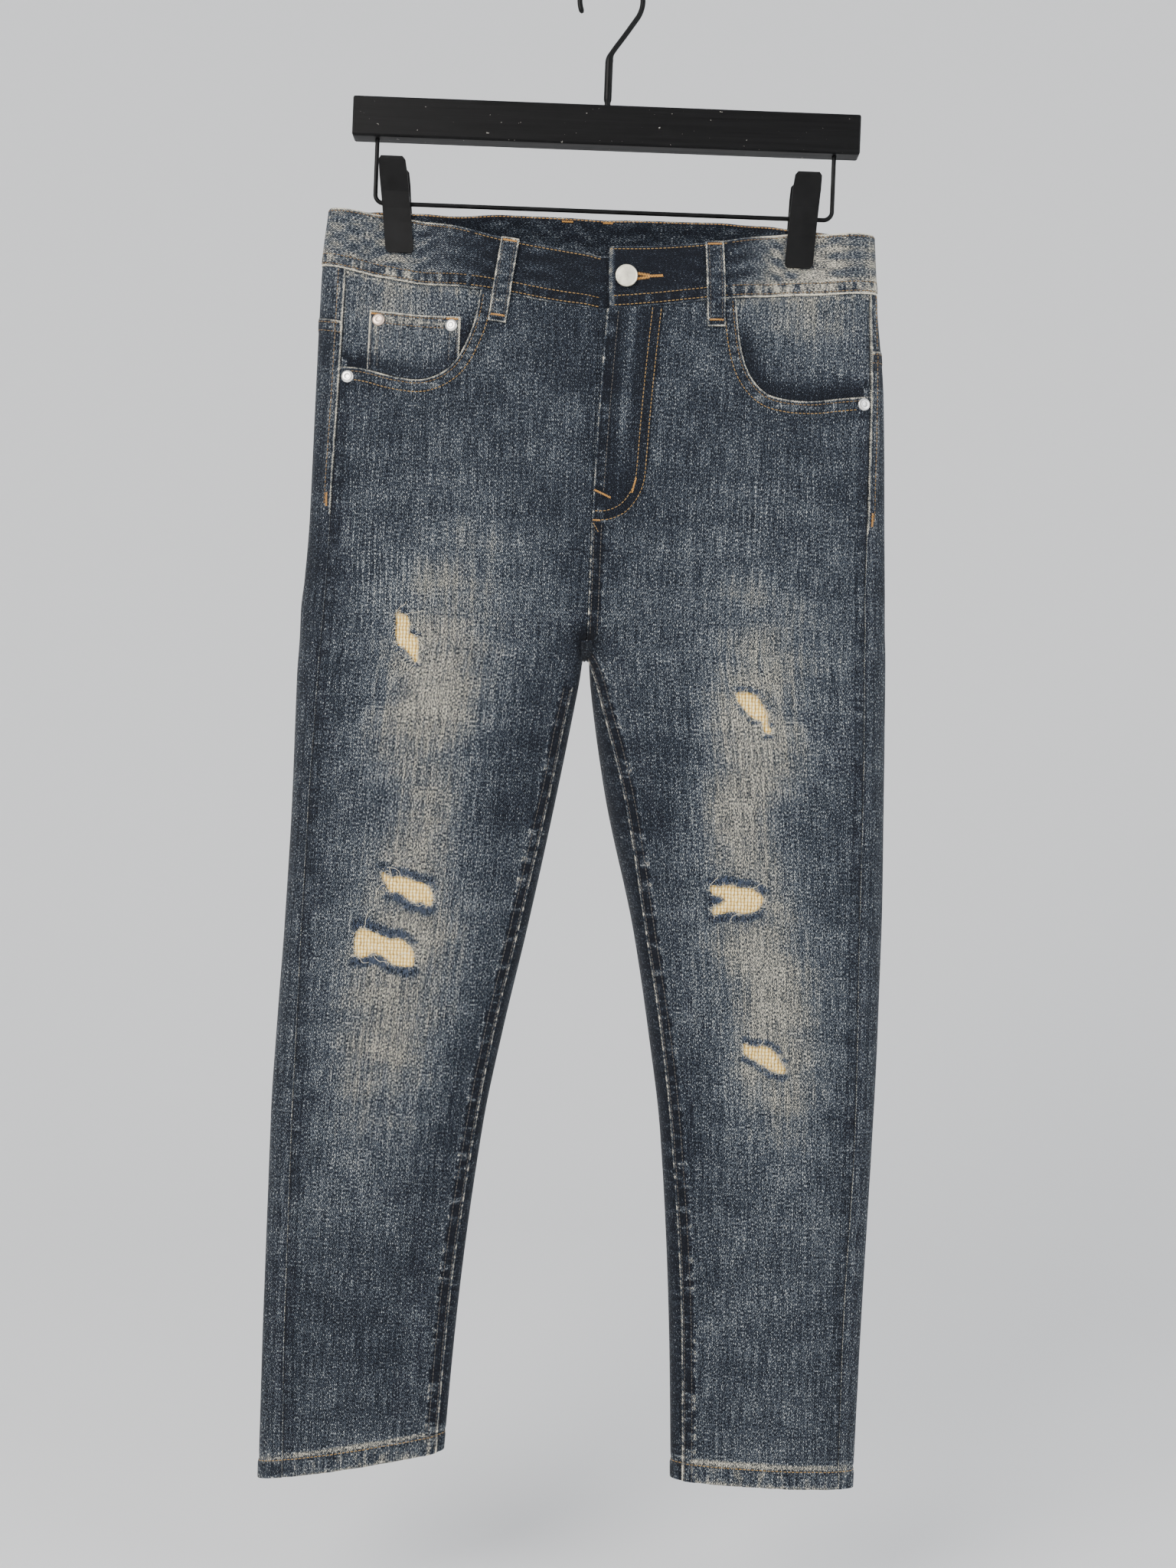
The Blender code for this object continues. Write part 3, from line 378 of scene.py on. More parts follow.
threadColours = {  # the lit strand and the shaded one beside it
    "gold": ((0.36, 0.21, 0.055), (0.16, 0.09, 0.022)), "brown": ((0.21, 0.12, 0.032), (0.09, 0.05, 0.016)),
    "dark": ((0.085, 0.072, 0.055), (0.03, 0.03, 0.034)), "orange": ((0.62, 0.30, 0.05), (0.36, 0.16, 0.03)),
    "cream": ((0.86, 0.80, 0.66), (0.66, 0.58, 0.42)), "indigo": ((0.055, 0.085, 0.15), (0.012, 0.02, 0.04)),
}
backing = {"rib": 2.5, "step": 2.7, "bend": 2.2, "pale": (1.0, 0.74, 0.26), "deep": (0.80, 0.50, 0.14),
           "white": (1.0, 0.92, 0.68)}


def patchMaterial(name):  # a coarse open weave: upright ribs, and weaker steps across them
    material, tree, shader = newMaterial(name, 0.85)
    weave = attributeNode(tree, "weave", "Vector")
    across, down, _ = splitNode(tree, weave)
    bend = noiseNode(tree, weave, (0.25, 0.25, 1), 2) * backing["bend"]
    ribs, steps = (((way + bend) * (math.pi / backing[pitch])).math("SINE").math("ABSOLUTE")
                   for way, pitch in ((across, "rib"), (down, "step")))
    cloth = ribs.math("POWER", 0.8) * steps.math("POWER", 0.3)
    tone = cloth * 0.85 + spread(noiseNode(tree, weave, (0.30, 0.22, 1), 3, 0.6), 0.35)
    # the ramp puts painted shade in the gaps between the threads and a painted highlight on the ribs' crowns
    holes = tuple(0.3 * part for part in backing["deep"])
    stops = [(0.08, holes), (0.36, backing["deep"]), (0.66, backing["pale"]), (0.9, backing["white"])]
    feed(shader, "Base Color", rampNode(tree, tone, stops))
    addBump(shader, cloth, 0.8, 0.0005)
    return material


def metalMaterial(name, colour, roughness, brushed=0.12):
    material, tree, shader = newMaterial(name, roughness, colour, metallic=1.0)
    spot = objectPlace(tree)
    grain = noiseNode(tree, spot, (900, 900, 2600), 3, 0.6)
    worn = noiseNode(tree, spot, (160, 160, 160), 3, 0.6)
    dark = tuple(0.6 * part for part in colour)
    feed(shader, "Base Color", rampNode(tree, worn, [(0.3, dark), (0.6, colour)]))
    feed(shader, "Roughness", grain * brushed + (roughness - brushed / 2))
    addBump(shader, grain, 0.08, 0.0001)
    return material


def blackWoodMaterial(name):
    material, tree, shader = newMaterial(name, 0.42, specular=0.12)
    spot = objectPlace(tree)
    grain = noiseNode(tree, spot, (9, 260, 420), 4, 0.6)
    pores = noiseNode(tree, spot, (60, 700, 900), 2, 0.8).math("GREATER_THAN", 0.70)
    chips = noiseNode(tree, spot, (260, 300, 420), 3, 0.6).math("GREATER_THAN", 0.735)
    base = rampNode(tree, grain, [(0.3, (0.0018, 0.0018, 0.0019)), (0.7, (0.0050, 0.0050, 0.0052))])
    feed(shader, "Base Color", mixNode(tree, chips, base, (0.32, 0.30, 0.27, 1)))
    addBump(shader, grain - pores * 0.6, 0.35, 0.0004)
    feed(shader, "Roughness", grain * 0.25 + 0.30)
    return material


def blackMetalMaterial(name, roughness):
    material, tree, shader = newMaterial(name, roughness, specular=0.14)
    spot = objectPlace(tree)
    peel = noiseNode(tree, spot, (420, 420, 420), 3, 0.6)
    worn = noiseNode(tree, spot, (70, 70, 70), 3, 0.6)
    colours = [(0.3, (0.0020, 0.0020, 0.0021)), (0.75, (0.0062, 0.0062, 0.0064))]
    feed(shader, "Base Color", rampNode(tree, worn, colours))
    feed(shader, "Roughness", worn * 0.25 + (roughness - 0.1))
    addBump(shader, peel, 0.12, 0.0002)
    return material


materials = {
    "frontDenim": denimMaterial("frontDenim"),
    "backDenim": denimMaterial("backDenim", -0.02),
    "bandDenim": denimMaterial("bandDenim", 0.0, 0.6),
    **{name: threadMaterial(name + "Thread", *colours) for name, colours in threadColours.items()},
    "patch": patchMaterial("patchCloth"),
    "nickel": metalMaterial("nickel", (0.88, 0.87, 0.84), 0.26),
    "ivory": metalMaterial("ivoryMetal", (0.90, 0.85, 0.70), 0.44),
    "copper": metalMaterial("copper", (0.80, 0.62, 0.50), 0.34),
    "blackWood": blackWoodMaterial("blackWood"),
    "blackMetal": blackMetalMaterial("blackMetal", 0.36),
    "blackClip": blackMetalMaterial("blackClip", 0.48),
}
print("materials made")


# Mesh helpers
def newObject(name, verts, faces, material, attributes=None, smooth=True, flat=45.0):
    mesh = bpy.data.meshes.new(name)
    mesh.from_pydata((np.asarray(verts, float) * mm).tolist(), [], [list(map(int, face)) for face in faces])
    for key, values in (attributes or {}).items():
        values = np.asarray(values, np.float32)
        kind = "FLOAT_VECTOR" if values.ndim == 2 else "FLOAT"
        layer = mesh.attributes.new(key, kind, "POINT")
        layer.data.foreach_set("vector" if values.ndim == 2 else "value", values.ravel())
    mesh.materials.append(material)
    if smooth:
        mesh.shade_smooth()
        mesh.set_sharp_from_angle(angle=math.radians(flat))
    mesh.validate()
    mesh.update()
    thing = bpy.data.objects.new(name, mesh)
    bpy.context.scene.collection.objects.link(thing)
    return thing


farFromEdge = 50.0


def gridFaces(rows, columns, around=False):
    index = np.arange(rows * columns).reshape(rows, columns)
    if around:
        index = np.concatenate([index, index[:, :1]], 1)
    return np.stack([index[:-1, :-1], index[:-1, 1:], index[1:, 1:], index[1:, :-1]], -1).reshape(-1, 4)


def shell(name, outer, inner, faces, material, attributes):
    # A closed wall: the outer faces, the inner ones turned round, and a rim along every open edge.
    count = len(outer)
    first = faces[len(faces) // 2]
    across = np.cross(outer[first[1]] - outer[first[0]], outer[first[2]] - outer[first[0]])
    if np.dot(across, outer[first[0]] - inner[first[0]]) < 0:
        faces = faces[:, ::-1]
    edges = np.concatenate([faces[:, [k, (k + 1) % 4]] for k in range(4)])
    code = edges[:, 0] * count + edges[:, 1]
    back = edges[:, 1] * count + edges[:, 0]
    rim = edges[~np.isin(back, code)]
    walls = np.stack([rim[:, 1], rim[:, 0], rim[:, 0] + count, rim[:, 1] + count], -1)
    everything = np.concatenate([faces, faces[:, ::-1] + count, walls])
    used = np.unique(everything)
    place = np.full(2 * count, -1)
    place[used] = np.arange(len(used))
    verts = np.concatenate([outer, inner])[used]
    doubled = {key: np.concatenate([values, values])[used] for key, values in attributes.items()}
    return newObject(name, verts, place[everything], material, doubled)


def patternPlace(first, second):  # two lengths as one vector for a pattern
    return np.stack([first, second, 0 * first], -1)


def clothLook(tone, weave, along, wear=0.0, pucker=0.0, scratch=0.0, edge=farFromEdge):
    # What the denim reads at every point: its tone, wear and painted highlight, and the lengths its patterns
    # follow.
    zero = np.zeros(weave.shape[:2])
    return {"tone": tone + zero, "wear": wear + zero, "pucker": pucker + zero, "scratch": scratch + zero,
            "edge": edge + zero, "weave": weave, "along": along}


def flatten(attributes):
    return {key: value.reshape(-1, *value.shape[2:]) for key, value in attributes.items()}


def gridShell(name, outer, inner, material, attributes):
    faces = gridFaces(*outer.shape[:2])
    return shell(name, outer.reshape(-1, 3), inner.reshape(-1, 3), faces, material, flatten(attributes))


def distanceTo(points, line):
    # Distance and nearest place on an open line of (x, z) points, and how far along it.
    best = np.full(len(points), 1e9)
    near = np.zeros((len(points), 2))
    along = np.zeros(len(points))
    walked = 0.0
    for a, b in zip(line[:-1], line[1:]):
        run = b - a
        length = np.hypot(*run)
        t = np.clip((points - a) @ run / length ** 2, 0, 1)
        spot = a + t[:, None] * run
        gap = np.hypot(*(points - spot).T)
        closer = gap < best
        best[closer], near[closer], along[closer] = gap[closer], spot[closer], walked + t[closer] * length
        walked += length
    return best, near, along


def inside(points, loop):
    hit = np.zeros(len(points), bool)
    for a, b in zip(loop, np.roll(loop, -1, 0)):
        spans = (a[1] > points[:, 1]) != (b[1] > points[:, 1])
        rise = b[1] - a[1]
        reach = a[0] + (points[:, 1] - a[1]) * (b[0] - a[0]) / (rise if rise else 1e-9)
        hit ^= spans & (points[:, 0] < reach)
    return hit


def curveThrough(points, steps=8, closed=False):
    points = np.array(points, float)
    if closed:
        ring = np.vstack([points[-1], points, points[0], points[1]])
    else:
        ring = np.vstack([2 * points[0] - points[1], points, 2 * points[-1] - points[-2]])
    made = []
    for a, b, c, d in zip(ring, ring[1:], ring[2:], ring[3:]):
        for t in np.arange(steps) / steps:
            made.append(0.5 * (2 * b + (c - a) * t + (2 * a - 5 * b + 4 * c - d) * t ** 2
                               + (3 * b - a - 3 * c + d) * t ** 3))
    if not closed:
        made.append(points[-1])
    return np.array(made)


def offsetLine(line, distance):
    ahead = np.gradient(line, axis=0)
    ahead /= np.linalg.norm(ahead, axis=1)[:, None]
    return line + np.stack([ahead[:, 1], -ahead[:, 0]], -1) * distance


# Rips: each hole's torn edge, as offsets from its middle, with the height of its dark fringe.
rips = {
    "hip_right": {"side": "right", "x": 133, "z": -508, "fringe": 3.0, "edge": [
        (9, 17.6), (5.5, 18.2), (1.9, 16.1), (-0.9, 13.6), (-1.9, 8.4), (-1.7, 3.1), (-7.5, -0.2),
        (-9, -5.4), (-8.9, -15), (-8.4, -19.4), (-5.1, -17.8), (-2.3, -13.9), (1.4, -9.3), (5.8, -7.2),
        (8.4, -2), (8.5, 8)]},
    "knee_right_upper": {"side": "right", "x": 125, "z": -695, "fringe": 6.0, "edge": [
        (19.7, 13.3), (13.9, 9.6), (4.7, 9.7), (-4.5, 7.1), (-13.8, 4.1), (-17.3, 0), (-18.8, -5.2),
        (-18, -10.5), (-14.8, -12.9), (-10.1, -9.1), (-3.9, -9.7), (2.2, -5.7), (8.2, -2.3), (13.5, -2.5),
        (16.6, 2), (19.1, 6.5)]},
    "knee_right_lower": {"side": "right", "x": 142, "z": -739, "fringe": 6.5, "edge": [
        (17.1, 14.5), (9.8, 12.5), (1.8, 9.8), (-6.2, 7.5), (-12.7, 7.7), (-19.5, 2.8), (-23.4, -3),
        (-23, -12.5), (-17.5, -13.4), (-6.9, -11.8), (-1.1, -7.1), (6.5, -4.1), (11, -6.9), (19.5, -7.3),
        (21.8, -2.1), (21.1, 8.4)]},
    "hip_left": {"side": "left", "x": 128, "z": -555, "fringe": 3.5, "edge": [
        (-16.8, 13.8), (-13.3, 15.4), (-6.7, 15.2), (-0.9, 12.9), (2.1, 8.8), (6.3, 3.3), (8.3, -0.9),
        (8, -7.8), (10.7, -11.2), (10.1, -14.3), (6.8, -15.2), (4.3, -10.5), (2.7, -6.1), (-4, -3.8),
        (-10.5, 2.6), (-14.4, 7.2)]},
    "knee_left_upper": {"side": "left", "x": 115, "z": -693, "fringe": 5.5, "edge": [
        (-16.5, 9.7), (-10.4, 8.9), (-5.3, 10.9), (0.8, 10.1), (7, 8.8), (14.1, 8.6), (19.4, 5.2),
        (22.8, 1.8), (21.8, -4.4), (17.8, -7.6), (7.7, -10.8), (1.5, -9.3), (-4.5, -10.5), (-12.9, -12.4),
        (-14.3, -6.3), (-8.4, -2.6), (-7.6, 0.8), (-15.8, 3.2)]},
    "knee_left_lower": {"side": "left", "x": 144, "z": -810, "fringe": 4.5, "edge": [
        (-15.9, 10.7), (-12.2, 8.9), (-7.2, 8.4), (-1.7, 9.3), (2.9, 7.8), (7, 4.7), (9.7, 2.2),
        (11.5, -2.4), (14.9, -5.5), (14.5, -10.8), (6.3, -10.1), (0.9, -7.7), (-3.1, -5.2), (-8.5, -1.8),
        (-13.5, 0.6), (-16.2, 3.8)]},
}
ripLook = {"steps": 4, "ragged": 0.45, "cloth": 0.9, "margin": 8.0, "gap": 0.5, "seed": 17}


def ripOutline(name):
    rip = rips[name]
    corners = [(rip["x"] + across, rip["z"] + up) for across, up in rip["edge"]]
    line = curveThrough(corners, ripLook["steps"], True)
    chance = np.random.default_rng(ripLook["seed"] + len(name))
    return line + chance.uniform(-1, 1, line.shape) * ripLook["ragged"]


# The wash: an even tone, and fades that lighten or darken it: place, half width, half height, tilt, amount.
washTone = 0.27
fades = {
    ("right", "front"): [
        (98, -470, 52, 70, 0, 0.13), (116, -560, 50, 95, 8, 0.31), (118, -700, 50, 75, 0, 0.21),
        (138, -790, 46, 85, 0, 0.25), (150, -900, 42, 90, 0, 0.08), (140, -620, 30, 40, 0, -0.07),
        (40, -440, 40, 80, 0, -0.02), (200, -500, 22, 200, 0, -0.1), (50, -600, 26, 90, 20, -0.12),
        (88, -860, 18, 120, 14, -0.1), (150, -1010, 60, 60, 0, -0.06), (150, -1100, 60, 34, 0, 0.02)],
    ("right", "back"): [
        (110, -420, 70, 80, 0, 0.16), (140, -760, 60, 60, 0, -0.1), (125, -620, 50, 80, 0, 0.08),
        (150, -980, 50, 110, 0, 0.07)],
    ("left", "front"): [
        (105, -485, 56, 60, 0, 0.1), (130, -560, 50, 92, -8, 0.27), (112, -620, 34, 60, 0, 0.12),
        (140, -745, 42, 90, 0, 0.35), (158, -830, 36, 70, 0, 0.16), (180, -650, 30, 60, 0, -0.05),
        (45, -440, 40, 80, 0, -0.02), (60, -610, 26, 80, -20, -0.12), (96, -850, 18, 120, -14, -0.1),
        (150, -990, 56, 90, 0, 0.06), (150, -1100, 60, 34, 0, 0.05)],
    ("left", "back"): [
        (112, -420, 70, 80, 0, 0.16), (142, -760, 60, 60, 0, -0.1), (127, -620, 50, 80, 0, 0.08),
        (150, -980, 50, 110, 0, 0.07)],
}
# Scratched places: place, half width, half height, strength.
scratches = {
    "right": [
        (172, -400, 14, 62, 0.55), (150, -470, 26, 34, 0.9), (120, -520, 20, 34, 0.6),
        (118, -690, 26, 20, 0.35), (160, -735, 22, 40, 0.45)],
    "left": [
        (108, -412, 16, 26, 0.6), (132, -402, 16, 30, 0.6), (160, -395, 10, 26, 0.5),
        (112, -540, 26, 34, 0.8), (132, -576, 20, 22, 0.7), (96, -690, 12, 30, 0.5),
        (132, -820, 26, 34, 0.7)],
}


def toneOf(side, front, x, z):
    return blotted(fades, side, front, x, z, washTone)


def scratchOf(side, x, z):
    total = np.zeros(x.shape)
    for scratchX, scratchZ, wide, high, strength in scratches[side]:
        total += strength * blot(x, z, (scratchX, scratchZ), wide, high, power=4)
    return np.clip(total, 0, 1)


# Panel edges
def frontEdges(side, z):
    start = np.maximum(legValue(side, "inseam", z), 0) + body["seamGap"] / 2
    end = legValue(side, "sideSeam", z) - body["seamGap"] / 2
    return angleAt(side, start, z), angleAt(side, end, z)


def backEdges(side, z):
    start = angleAt(side, legValue(side, "sideSeam", z) + body["seamGap"] / 2, z)
    middleSeam = angleAt(side, body["seamGap"] / 2, z, "back")
    inseam = 2 * math.pi + angleAt(side, legValue(side, "inseam", z) - body["seamGap"] / 2, z)
    return start, np.where(z >= body["crotch"], middleSeam, inseam)


def acrossEdges(edges, side, share, z):
    start, end = edges(side, z)
    return start + (end - start) * share


def edgeHeights(side, edges, share, seam, start):
    z = np.full(share.shape, float(start))
    for _ in range(5):
        angle = acrossEdges(edges, side, share, z)
        z = seam(np.abs(freePoint(side, angle, z)[..., 0]), angle)
    return z


def bandSeam(side):
    return lambda x, angle: np.where(angle < 0, bandEdge(side, "front", "Low", x),
                                     bandEdge(side, "back", "Low", x)) - body["bandGap"]


def hemLine(side):
    inner, outer = body["hems"][side]
    foot = legs[side][-1]
    return lambda x, angle: inner + (outer - inner) * (x - foot[2]) / (foot[1] - foot[2])


def yokeSeam(side, gap=0.0):
    middle, edge = body["yokeMiddle"], body["yokeSide"][side]
    return lambda x, angle: middle + (edge - middle) * x / legs[side][1][1] - gap


def arcs(points, axis):
    step = np.linalg.norm(np.diff(points, axis=axis), axis=-1)
    start = np.zeros_like(np.take(step, [0], axis))
    return np.cumsum(np.concatenate([start, step], axis), axis)


def grain(side, points, along, z, back=False):  # the weave's own lengths, square to the leg's grain line
    if back:
        across = along + np.abs(points[:, :1, 0]) - 2 * legValue(side, "outer", z)
        return patternPlace(across, z + 0 * across)
    middle = along.shape[1] // 2
    lean = 0.4 * np.maximum(legValue(side, "inseam", z), 0)
    across = along - along[:, middle:middle + 1] + np.abs(points[:, middle:middle + 1, 0]) - lean
    return patternPlace(across, z + 0 * across)


def soft(value, low, high):  # 0 below low, 1 above high
    t = np.clip((value - low) / (high - low), 0, 1)
    return t * t * (3 - 2 * t)


def ridge(distance, place, width):
    return np.exp(-((distance - place) / width) ** 2)


def chanceWave(length, spacing, seed, size):
    # An uneven ripple along a seam, smooth at the scale of a few stitches.
    chance = np.random.default_rng(seed)
    knots = np.arange(0, size + spacing * 4, spacing)
    heights = chance.uniform(-1, 1, len(knots))
    t = np.asarray(length) / spacing
    k = np.clip(t.astype(int), 0, len(knots) - 2)
    f = t - k
    f = f * f * (3 - 2 * f)
    return heights[k] * (1 - f) + heights[k + 1] * f


def sideWave(side, length, spacing, seed, size=1200):  # each side has its own draws
    return chanceWave(length, spacing, seed + (side == "left"), size)


panel = {"frontColumns": 104, "frontRows": 430, "backColumns": 80, "backRows": 240, "yokeColumns": 80,
         "yokeRows": 30}
grids = {}  # each panel's angles, heights and distances to its seams, for the sewing


def panelHeights(side, edges, share, top, rows):
    hem = edgeHeights(side, edges, share, hemLine(side), -1130)
    down = np.linspace(0, 1, rows)[:, None]
    return top[None, :] + (hem - top)[None, :] * down, hem


def pocketMouth(side):  # the mouth's curve, and the loop of what is cut away inside it
    scoop = curveThrough(scoops[side])
    return scoop, np.vstack([scoop, (260, scoop[-1][1]), (260, -200), (scoop[0][0], -200)])


def cutOut(points, faces, loops):  # faces inside a loop go, and the rim that they leave is drawn onto its line
    centres = points[faces].mean(1)
    for loop, line in loops:
        gone = inside(centres, loop)
        rimVerts = np.intersect1d(faces[gone], faces[~gone])
        points[rimVerts] = distanceTo(points[rimVerts], line)[1]
        faces, centres = faces[~gone], centres[~gone]
    return faces


def tornEdges(points, torn):  # distance to the nearest rip, and how much of a dark fringe lies at each point
    nearest, fringe = np.full(len(points), 99.0), np.zeros(len(points))
    for name, line in torn.items():
        gap, near, _ = distanceTo(points, line)
        nearest = np.minimum(nearest, gap)
        upright = np.abs(points[:, 1] - near[:, 1]) / np.maximum(gap, 0.3)
        fringe = np.maximum(fringe, soft(rips[name]["fringe"] + 1.2 - gap, 0, 2.4) * soft(upright, 0.45, 0.9))
    return nearest, fringe


# The turned-up hem, the same at the front and the back.
hemLook = {"rise": 0.55, "uneven": 0.45, "groove": 0.5, "dark": 0.20, "wear": 0.48, "pucker": 0.45}


def hemShape(side, toHem, along, seed, size):
    strip = soft(body["hemHeight"] + 1.0 - toHem, 0, 1.5)
    ripple = sideWave(side, along, 6.0, seed, size)
    out = strip * (hemLook["rise"] + hemLook["uneven"] * ripple)
    wall = body["cloth"] + (body["hemWall"] - body["cloth"]) * strip
    return strip, out - hemLook["groove"] * ridge(toHem, body["hemHeight"] + 0.5, 1.3), wall


# painted shade in the groove under the fold, where the hem's row of stitches runs
def hemShade(toHem):  # a dark row under the fold
    return hemLook["dark"] * ridge(toHem, body["hemHeight"] + 0.2, 1.3)


def hemWear(toHem, strip, foot, width):  # worn pale above the row, along the foot and a little between them
    return (hemLook["wear"] * ridge(toHem, body["hemHeight"] + 2.6, 2.2) + foot * ridge(toHem, 0.3, width)
            + 0.05 * strip)


def ripplePlace(strip, along, z):  # puckers run across the hem there, and across the side seams elsewhere
    return np.where((strip > 0.4)[..., None], patternPlace(along, z), patternPlace(z, along))


# Front legs. The inseam is felled, which is sewn down under two rows, from a height that differs on each side.
frontLook = {"felledFrom": {"right": -540.0, "left": -417.0}, "felled": 11.5, "felledRise": 0.55,
             "ripple": 0.35, "felledDark": 0.22, "felledWear": 0.14, "felledPucker": 1.2, "mouthHem": 11.0,
             "mouthRise": 0.45, "underFly": 0.3, "blotch": 0.14, "fringeRise": 0.35, "fringeDark": 0.30}


def frontLeg(side):
    look = frontLook
    share = np.linspace(0, 1, panel["frontColumns"])
    top = edgeHeights(side, frontEdges, share, bandSeam(side), -260)
    z, hem = panelHeights(side, frontEdges, share, top, panel["frontRows"])
    angle = acrossEdges(frontEdges, side, share[None, :], z)
    shape = z.shape
    points = np.stack([np.abs(freePoint(side, angle, z)[..., 0]).ravel(), z.ravel()], -1)
    scoop, opening = pocketMouth(side)
    outlines = {name: ripOutline(name) for name in rips if rips[name]["side"] == side}
    torn = {name: np.vstack([outline, outline[:1]]) for name, outline in outlines.items()}
    holes = [(opening, scoop)] + [(outlines[name], torn[name]) for name in torn]
    faces = cutOut(points, gridFaces(*shape), holes)
    x, z = points[:, 0].reshape(shape), points[:, 1].reshape(shape)
    moved = angleAt(side, x, z)
    angle = np.where(np.abs(moved - angle) > 1e-4, moved, angle)
    base = bodyPoint(side, angle, z)
    along = arcs(base, 1)
    toInseam, toSide, toHem = along, along[:, -1:] - along, z - hem[None, :]
    toScoop = distanceTo(points, scoop)[0].reshape(shape)
    toRip, fringe = (part.reshape(shape) for part in tornEdges(points, torn))
    # how the cloth stands out
    doubled = soft(look["felledFrom"][side] - z, -2, 2)
    felled = doubled * soft(look["felled"] - toInseam, 0, 2.0)
    mouthHem = soft(look["mouthHem"] - toScoop, 0, 1.5)
    hemStrip, out, wall = hemShape(side, toHem, along, 5, 400)
    ripple = sideWave(side, -z, 5.0, 3)
    out = out + look["felledRise"] * felled + look["ripple"] * felled * ripple * soft(toInseam, 0.5, 3)
    out += look["mouthRise"] * (mouthHem - soft(1.6 - toScoop, 0, 1.6)) - 0.35 * ridge(toSide, 0.0, 2.0)
    out += 0.3 * soft(3.0 - toRip, 0, 3.0) + look["fringeRise"] * fringe
    if side == "right":  # the right front goes under the left one's fly
        out -= look["underFly"] * np.where(z > -417, soft(6 - toInseam, 0, 5), 0)
    # its tone: darker towards the seams, twice as dark along the inseam between the legs where it is painted
    # shade, with blotches at the side, a painted shade beside the fly and a painted shade at the crotch
    tone = toneOf(side, True, x, z) - hemShade(toHem)
    tone -= 0.10 * soft(18 - toInseam, 0, 14) * np.where(z < body["crotch"] + 2, 1, 0.5)
    tone -= 0.05 * soft(10 - toSide, 0, 9)
    betweenRows = soft(9.2 - toInseam, 0, 1.5) * soft(toInseam, 1.0, 2.0)
    tone -= look["felledDark"] * doubled * betweenRows * soft(toHem, 10, 30)
    blotches = np.clip(sideWave(side, -z, 14.0, 61), 0, 1)
    tone -= look["blotch"] * blotches * soft(12 - toSide, 0, 9)
    tone -= 0.10 * blot(x, z, (20, -270), 30, 60) + 0.38 * blot(x, z, (2, -503), 7, 9)
    tone += 0.05 * soft(-z, 1080, 1125) - 0.07 * soft(5.5 - np.abs(toScoop - 14), 0, 5)
    tone -= look["fringeDark"] * fringe
    wear = look["felledWear"] * ridge(toInseam, 10.4, 1.4) * doubled + hemWear(toHem, hemStrip, 0.25, 1.6)
    pucker = np.maximum.reduce([look["felledPucker"] * felled, hemLook["pucker"] * hemStrip, 0.5 * mouthHem,
                                0.35 * soft(9 - toSide, 0, 3)])
    edge = np.minimum.reduce([toScoop, np.where(doubled > 0.5, toInseam, farFromEdge), toSide + 1.8])
    attributes = clothLook(tone, grain(side, base, along, z), ripplePlace(hemStrip, along, z), wear, pucker,
                           scratchOf(side, x, z), edge)
    outer, inner = (bodyPoint(side, angle, z, height).reshape(-1, 3) for height in (out, -wall))
    made = shell(f"frontLeg_{side}", outer, inner, faces, materials["frontDenim"], flatten(attributes))
    grids["front", side] = {"side": side, "angle": angle, "z": z, "toInseam": toInseam, "hem": hem}
    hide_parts(f"front_leg_{side}")
    return made


# Back legs and yokes: a raised strip beside the side seam, and how much paler it is on each side.
weltLook = {"wide": 8.0, "rise": 0.75, "ripple": 0.25, "pale": {"right": 0.08, "left": 0.03}, "pucker": 0.4,
            "foot": -418.0}


def backLeg(side):
    share = np.linspace(0, 1, panel["backColumns"])
    top = edgeHeights(side, backEdges, share, yokeSeam(side, body["seamGap"]), -290)
    z, hem = panelHeights(side, backEdges, share, top, panel["backRows"])
    angle = acrossEdges(backEdges, side, share[None, :], z)
    base = bodyPoint(side, angle, z)
    along = arcs(base, 1)
    toSide, toMiddle, toHem, toTop = along, along[:, -1:] - along, z - hem[None, :], top[None, :] - z
    x = np.abs(base[..., 0])
    welt = soft(weltLook["wide"] - toSide, 0, 1.0) * soft(z, weltLook["foot"], weltLook["foot"] + 14)
    hemStrip, out, wall = hemShape(side, toHem, along, 9, 600)
    ripple = sideWave(side, -z, 5.0, 7)
    out = out + (weltLook["rise"] + weltLook["ripple"] * ripple) * welt + 0.5 * soft(9 - toTop, 0, 2)
    out -= 0.3 * ridge(toSide, 0, 2.0) * (1 - welt) + 0.4 * ridge(toMiddle, 0, 2.0)
    tone = toneOf(side, angle < 0, x, z) - 0.02 + 0.06 * soft(14 - toSide, 0, 10)
    tone += weltLook["pale"][side] * welt - 0.10 * soft(14 - toMiddle, 0, 10)
    # past the inseam the back leg's inner strip gets painted shade between the legs
    tone -= 0.10 * (angle > math.pi) + hemShade(toHem)
    edge = np.minimum(toTop, np.where(z > weltLook["foot"], toSide, toSide + 1.0))
    pucker = np.maximum.reduce([weltLook["pucker"] * welt, hemLook["pucker"] * hemStrip,
                                0.6 * soft(9 - toTop, 0, 2), 0.4 * soft(9 - toMiddle, 0, 3)])
    attributes = clothLook(tone, grain(side, base, along, z, True), ripplePlace(hemStrip, along, z),
                           hemWear(toHem, hemStrip, 0.22, 1.2), pucker, edge=edge)
    made = gridShell(f"backLeg_{side}", bodyPoint(side, angle, z, out), bodyPoint(side, angle, z, -wall),
                     materials["backDenim"], attributes)
    grids["back", side] = {"side": side, "angle": angle, "z": z, "toMiddle": toMiddle, "toSide": toSide,
                           "hem": hem, "top": top}
    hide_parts(f"back_leg_{side}")
    return made


